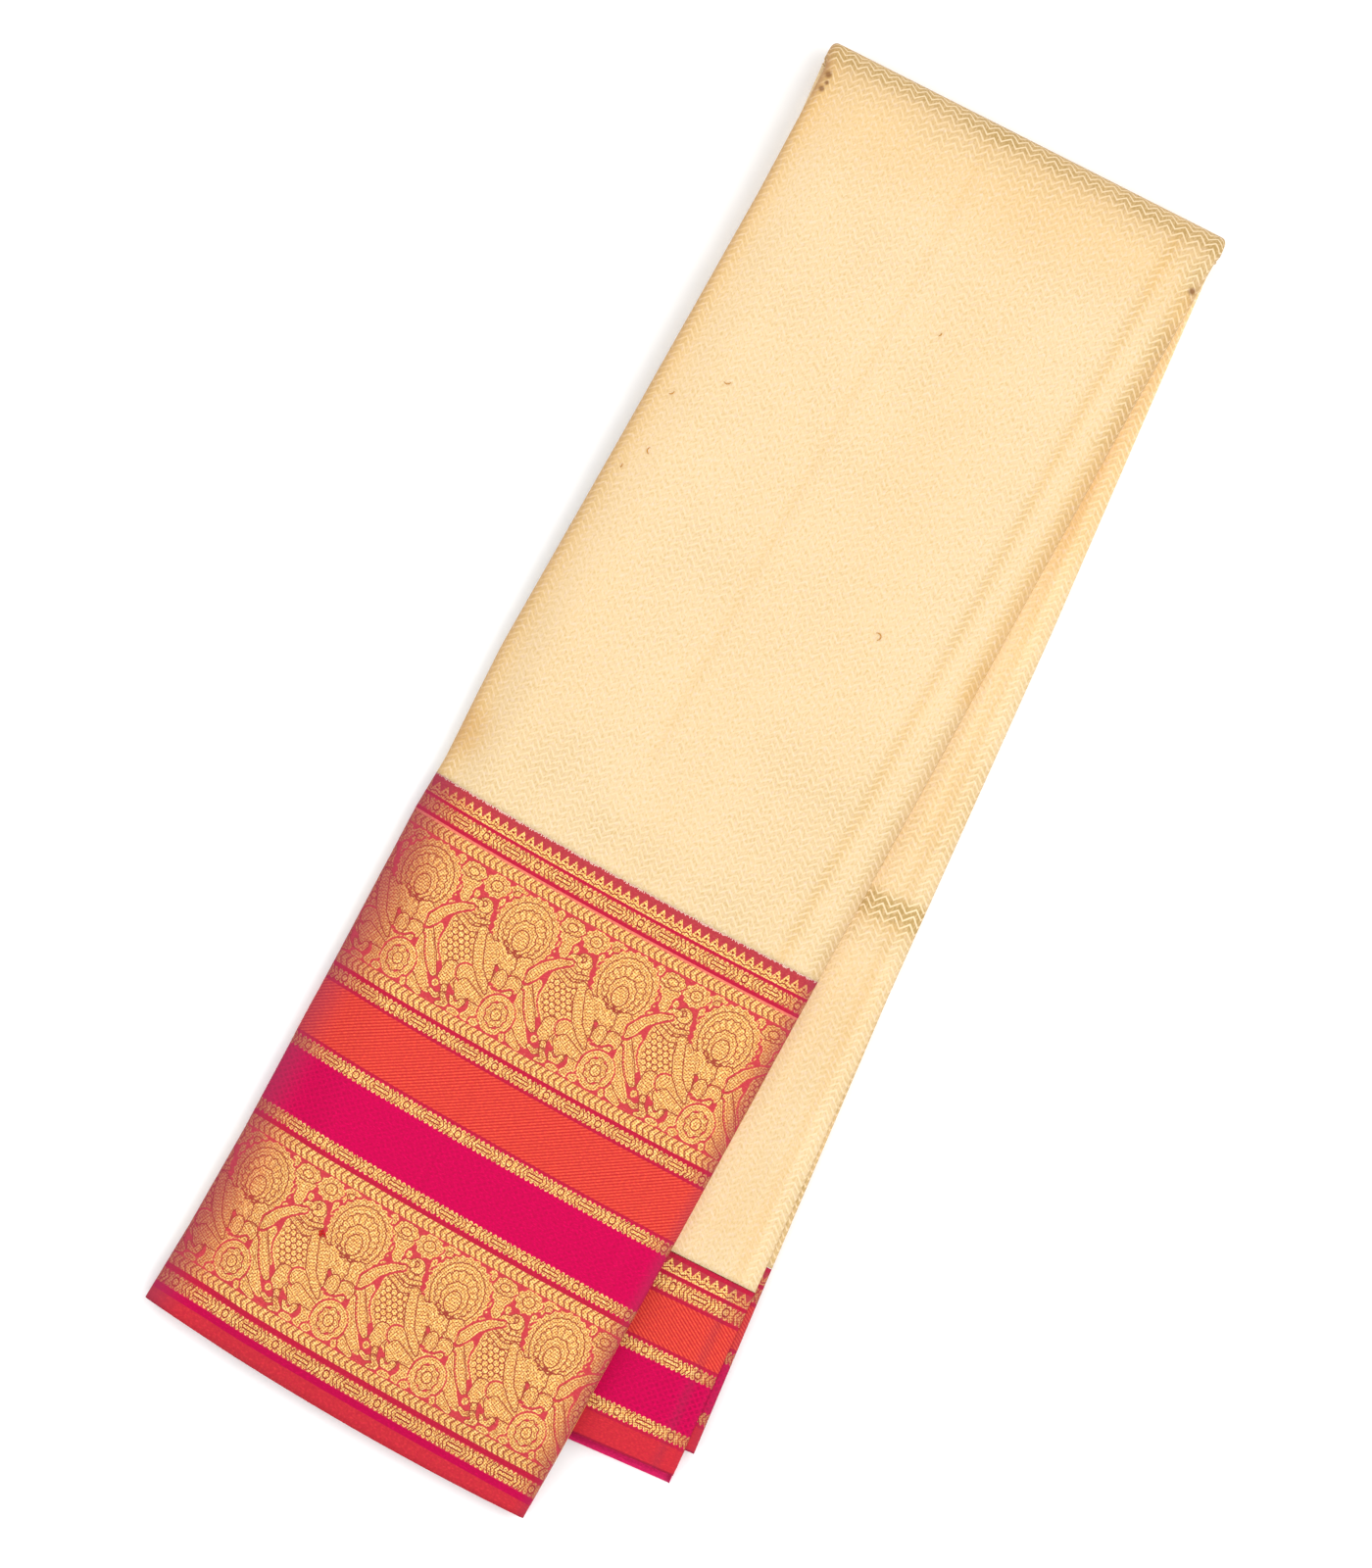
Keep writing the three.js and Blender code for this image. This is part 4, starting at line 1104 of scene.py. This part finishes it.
notch = lay(tree, "Math LESS_THAN", bead_x, 0.20)
notch = lay(tree, "Math MULTIPLY", notch, lay(tree, "Math GREATER_THAN", off, 0.5))
inner_bead = lay(tree, "Math COMPARE", off, lay(tree, "Math SUBTRACT", bead, 0.34), 0.06)
vine_line = bar
for part in (head, ring, notch, lay(tree, "Math MULTIPLY", inner_bead, 0.6)):
    vine_line = lay(tree, "Math MAXIMUM", vine_line, part)
vine_line = lay(tree, "Math MULTIPLY", vine_line, vine)
vine_gold = lay(tree, "Math MULTIPLY", lay(tree, "Math LESS_THAN", off, bead), vine)
print("arrow heads every", ARROW_STEP, "mm, vine every", 2 * VINE_HALF, "mm")

# %% Border silk: temple spires
SPIRE_HALF = 2.08   # mm, half the step from spire to spire

# Each spire has a dark eye, and stands over a row with a scalloped line.
spire = lay(tree, "Math DIVIDE", lay(tree, "Math PINGPONG", x, SPIRE_HALF), SPIRE_HALF)
slope = lay(tree, "Math POWER", lay(tree, "MapRange", up, -1.0, 1.0, 0.92, 0.0), 0.9)
spire_gold = lay(tree, "Math MULTIPLY", lay(tree, "Math LESS_THAN", spire, slope), temple)
eye = lay(tree, "Math LESS_THAN", spire, 0.24)
eye = lay(tree, "Math MULTIPLY", eye, lay(tree, "Math COMPARE", up, -0.5, 0.25))
eye = lay(tree, "Math MULTIPLY", eye, temple)
scallop = lay(tree, "MapRange", spire, 0.0, 1.0, 0.55, -0.35)
scallop = lay(tree, "Math MULTIPLY", lay(tree, "Math COMPARE", up, scallop, 0.22), base_row)
print("spires every", 2 * SPIRE_HALF, "mm")

# %% Border silk: peacocks and flowers
SCALE_HALF = (1.35, 2.35)   # mm, half of a scale's repeat across and up

# Figures: gold inside the outline, a fine line just within it and on each thin edge, and ribs or
# scales further in.  The scales are round, 2.7 mm wide, and laid like bricks.
signed, rib, scales = numbers(tree, "figure")
figure_gold = lay(tree, "Math MULTIPLY", lay(tree, "MapRange", signed, -0.12, 0.12, 1.0, 0.0), field)
inner = lay(tree, "Math MULTIPLY", lay(tree, "Math COMPARE", signed, -0.85, 0.15), 0.7)
for edge in numbers(tree, "seams")[:2]:
    inner = lay(tree, "Math MAXIMUM", inner, lay(tree, "Math COMPARE", edge, 0.0, 0.23))
deep_in = lay(tree, "Math LESS_THAN", signed, -1.2)
rib = lay(tree, "Math LESS_THAN", lay(tree, "Math FRACT", rib), 0.30)
rib = lay(tree, "Math MULTIPLY", lay(tree, "Math MULTIPLY", rib, deep_in), 0.6)
here = [lay(tree, "Math PINGPONG", at, half) for at, half in zip((cloth_x, cloth_y), SCALE_HALF)]
there = [lay(tree, "Math SUBTRACT", half, at) for at, half in zip(here, SCALE_HALF)]
near, far = (lay(tree, "VectorMath LENGTH", lay(tree, "CombineXYZ", *at), out=1) for at in (here, there))
scale = lay(tree, "Math GREATER_THAN", lay(tree, "Math MINIMUM", near, far), 1.16)
scale = lay(tree, "Math MULTIPLY", scale, lay(tree, "Math GREATER_THAN", scales, 0.5))
for part in (rib, lay(tree, "Math MULTIPLY", scale, deep_in)):
    inner = lay(tree, "Math MAXIMUM", inner, part)
inner = lay(tree, "Math MULTIPLY", inner, lay(tree, "Math MULTIPLY", field, 0.9))

# All patterns together.
gold, dark_line = figure_gold, inner
for part in (arrow, vine_gold, spire_gold, base_row):
    gold = lay(tree, "Math MAXIMUM", gold, part)
for part in (arrow_line, vine_line, scallop, eye):
    dark_line = lay(tree, "Math MAXIMUM", dark_line, part)
print("scales", 2 * SCALE_HALF[0], "by", 2 * SCALE_HALF[1], "mm")

# %% [markdown]
# ## The dyed ground and the gold thread
# Under the gold lies dyed silk.  Twill lines 1.5 mm wide climb over the orange at 33 degrees.  The
# magenta has a diaper of lozenges 3.3 mm wide, each with a dot, painted stronger near the left
# edge, where the cloth turns from the light.  Both only shade the dye.

# %% Border silk: the dyed ground
TWILL_STEP, TWILL_CLIMB = 1.52, 0.65   # mm, and the tangent of 33 degrees
LOZENGE_HALF = (1.65, 1.55)            # mm, half of a lozenge's repeat across and up
TWILL_RED, DIAPER_RED, WEFT_RED = "#B52521", "#98003F", "#9F0D32"

climb = lay(tree, "Math MULTIPLY_ADD", cloth_x, -TWILL_CLIMB, cloth_y)
climb = lay(tree, "Math SINE", lay(tree, "Math MULTIPLY", climb, math.tau / TWILL_STEP))
climb = lay(tree, "Math MULTIPLY", lay(tree, "MapRange", climb, -1.0, 1.0, 0.0, 1.0), twill)
weft = lay(tree, "TexNoise", cloth, None, 0.9, 2.0)
lozenge = lay(tree, "Math DIVIDE", lay(tree, "Math PINGPONG", cloth_x, LOZENGE_HALF[0]), LOZENGE_HALF[0])
lozenge_y = lay(tree, "Math PINGPONG", cloth_y, LOZENGE_HALF[1])
lozenge = lay(tree, "Math MULTIPLY_ADD", lozenge_y, 1 / LOZENGE_HALF[1], lozenge)
lozenge = lay(tree, "Math ABSOLUTE", lay(tree, "Math SUBTRACT", lozenge, 1.0))
lozenge = lay(tree, "MapRange", lozenge, 0.1, 0.65, 0.0, 1.0)
# Painted light and shade: the diaper shows stronger near the left edge, turned from the light.
painted_left_edge_contrast = lay(tree, "MapRange", cloth_x, -88.0, -48.0, 0.85, 0.35)
for part in (painted_left_edge_contrast, lay(tree, "MapRange", weft, 0.3, 0.65, 0.3, 1.2)):
    lozenge = lay(tree, "Math MULTIPLY", lozenge, part)
lozenge = lay(tree, "Math MULTIPLY", lozenge, diaper, use_clamp=True)
ground = lay(tree, "MixRGB", climb, dye, linear(TWILL_RED))
ground = lay(tree, "MixRGB", lozenge, ground, linear(DIAPER_RED))
uneven = lay(tree, "MapRange", weft, 0.3, 0.7, 0.0, 0.75)
ground = lay(tree, "MixRGB", uneven, ground, lay(tree, "MixRGB", 0.5, ground, linear(WEFT_RED)))
glint_at = lay(tree, "Mapping", cloth, (9, 4, 0), (0, 0, math.radians(33)), (0.7, 1.9, 1.0))
glint = lay(tree, "MapRange", lay(tree, "TexNoise", glint_at, None, 1.0, 1.0), 0.5, 0.75, 0.0, 0.3)
ground = lay(tree, "MixRGB", glint, ground, ground, blend_type="ADD")
print("twill lines", TWILL_STEP, "mm, lozenges", 2 * LOZENGE_HALF[0], "mm")

# %% Border silk: gold thread
GILT, GILT_BRIGHT, GILT_STITCH = "#F3BE69", "#FAD88A", "#9C3C26"
GILT_LINE, GILT_PAINTED_SHADE = "#8E222A", "#A62E36"

# Stitches every 1 mm, glints between them, and the weft's own unevenness.
stitch_at = lay(tree, "Mapping", cloth, None, (0, 0, math.radians(24)))
stitch = lay(tree, "TexVoronoi", stitch_at, None, 1.0, voronoi_dimensions="2D")
stitch.node.inputs["Randomness"].default_value = 0.3
stitch = lay(tree, "MapRange", stitch, 0.21, 0.52, 1.0, 0.0)
stitch = lay(tree, "Math MULTIPLY", stitch, lay(tree, "MapRange", weft, 0.35, 0.65, 0.55, 1.0))
bright = lay(tree, "MapRange", lay(tree, "TexNoise", cloth, None, 0.8, 2.0), 0.42, 0.62, 0.0, 1.0)
# Painted shade: gold painted dull where it turns from the light, and darker silk at the edges.
painted_dull_gold, _, shaded = numbers(tree, "painted_sheen_and_shade")
gilt = lay(tree, "MixRGB", bright, linear(GILT), linear(GILT_BRIGHT))
for share, colour in ((stitch, GILT_STITCH), (dark_line, GILT_LINE), (painted_dull_gold, GILT_PAINTED_SHADE)):
    gilt = lay(tree, "MixRGB", share, gilt, linear(colour))
colour = lay(tree, "MixRGB", gold, ground, gilt)
print("gold from", GILT, "to", GILT_BRIGHT)

# %% Border silk: floats, shade and surface
FLOAT_STEP, FLOAT_CREAM, EDGE_SHADE = 0.5, "#E1C7B5", "#7C3048"

# Short floats of pale silk hang over the joint with the body, each thread of its own length.
thread = lay(tree, "Math DIVIDE", x, FLOAT_STEP)
hang = lay(tree, "TexWhiteNoise", None, lay(tree, "Math FLOOR", thread), noise_dimensions="1D")
floats = lay(tree, "Math GREATER_THAN", up, lay(tree, "MapRange", hang, 0.0, 1.0, 0.9, 0.2))
gap = lay(tree, "Math GREATER_THAN", lay(tree, "Math FRACT", thread), 0.3)
floats = lay(tree, "Math MULTIPLY", lay(tree, "Math MULTIPLY", floats, joint), gap)
for share, coat in ((floats, FLOAT_CREAM), (lay(tree, "Math MULTIPLY", shaded, 0.55), EDGE_SHADE)):
    colour = lay(tree, "MixRGB", share, colour, linear(coat))
height = gold
for groove, depth in ((dark_line, 0.6), (climb, 0.3)):
    height = lay(tree, "Math SUBTRACT", height, lay(tree, "Math MULTIPLY", groove, depth))
roughness = lay(tree, "MapRange", gold, 0.0, 1.0, 0.5, 0.42)
finish_silk(tree, colour, height, roughness, lay(tree, "Math MULTIPLY", gold, 0.2), 0.5)
print(border_silk.name, len(tree.nodes), "nodes")

# %% [markdown]
# ## Loose silk thread
# A single silk thread is two twisted plies, so fine that the twist shows only as a shimmer from a
# darker to a lighter tone.  A wave texture along the object's own axes gives that shimmer.

# %% Thread silk
THREAD_SILKS = [
    # name, darker tone, lighter tone
    ("loose silk thread, brown gold", "#AC6A1C", "#D89A3C"),
    ("loose silk thread, red", "#B50D1C", "#D8252A"),
]
thread_silks = []
for name, dark, light in THREAD_SILKS:
    material, tree = new_material(name)
    twist = lay(tree, "TexWave", lay(tree, "TexCoord", out=3), 2200.0)
    finish_silk(tree, lay(tree, "MixRGB", twist, linear(dark), linear(light)), twist, 0.5)
    thread_silks.append(material)
thread_silk, knot_silk = thread_silks
print("thread silks:", len(thread_silks))

# %% [markdown]
# ## Give every piece its finish and its place in the pack
# Every piece rides on the one body, stands for the nodes it replaces, which are hidden, and gets
# the materials listed for it.  The table also lists each piece's slot and each sheet's flat length
# and how it is held, but nothing here reads them.

# %% Finishes, nodes and sheets
stack_mesh.polygons.foreach_set("material_index", np.concatenate(fold_is_border).astype(np.int32))
JOINT = WIDE + NARROW
BODY_LENGTH = FOLD_Y + TURN_LENGTH + BACK_LENGTH - JOINT
PIECES = [
    # piece, nodes it stands for, slot, materials, flat length in metres, how it is held
    (outer_body, ("outer_leaf_front", "outer_leaf_crown", "outer_leaf_under"), "body_silk",
     (body_silk,), BODY_LENGTH / 1000, "folded"),
    (wide_border, ("wide_border",), "border_silk", (border_silk,), 0.250, "laid"),
    (under_border, ("under_border",), "narrow_border_silk", (border_silk,), 0.0868, "laid"),
    (inner_body, ("inner_leaf_front", "inner_leaf_back"), "body_silk", (body_silk,), 0.812, "folded"),
    (inner_border, ("inner_wide_border",), "border_silk", (border_silk,), 0.2485, "laid"),
    (narrow_border, ("narrow_border",), "narrow_border_silk", (border_silk,), 0.0814, "laid"),
    (slipped_body, ("slipped_leaf",), "body_silk", (body_silk,), 0.460, "laid"),
    (slipped_border, ("slipped_border",), "narrow_border_silk", (border_silk,), 0.0814, "laid"),
    (folds, ("folded_layers",), "layered_silk", (body_silk, border_silk), None, None),
    (threads, (), "body_silk", (thread_silk,), None, None),
    (knot, (), "border_silk", (knot_silk,), None, None),
]
for piece, nodes, slot, materials, length, held in PIECES:
    for material in materials:
        piece.data.materials.append(material)
    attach(piece, "root")
    if nodes:
        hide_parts(*nodes)
print(len(PIECES), "pieces, the outer body is", round(BODY_LENGTH), "mm long")
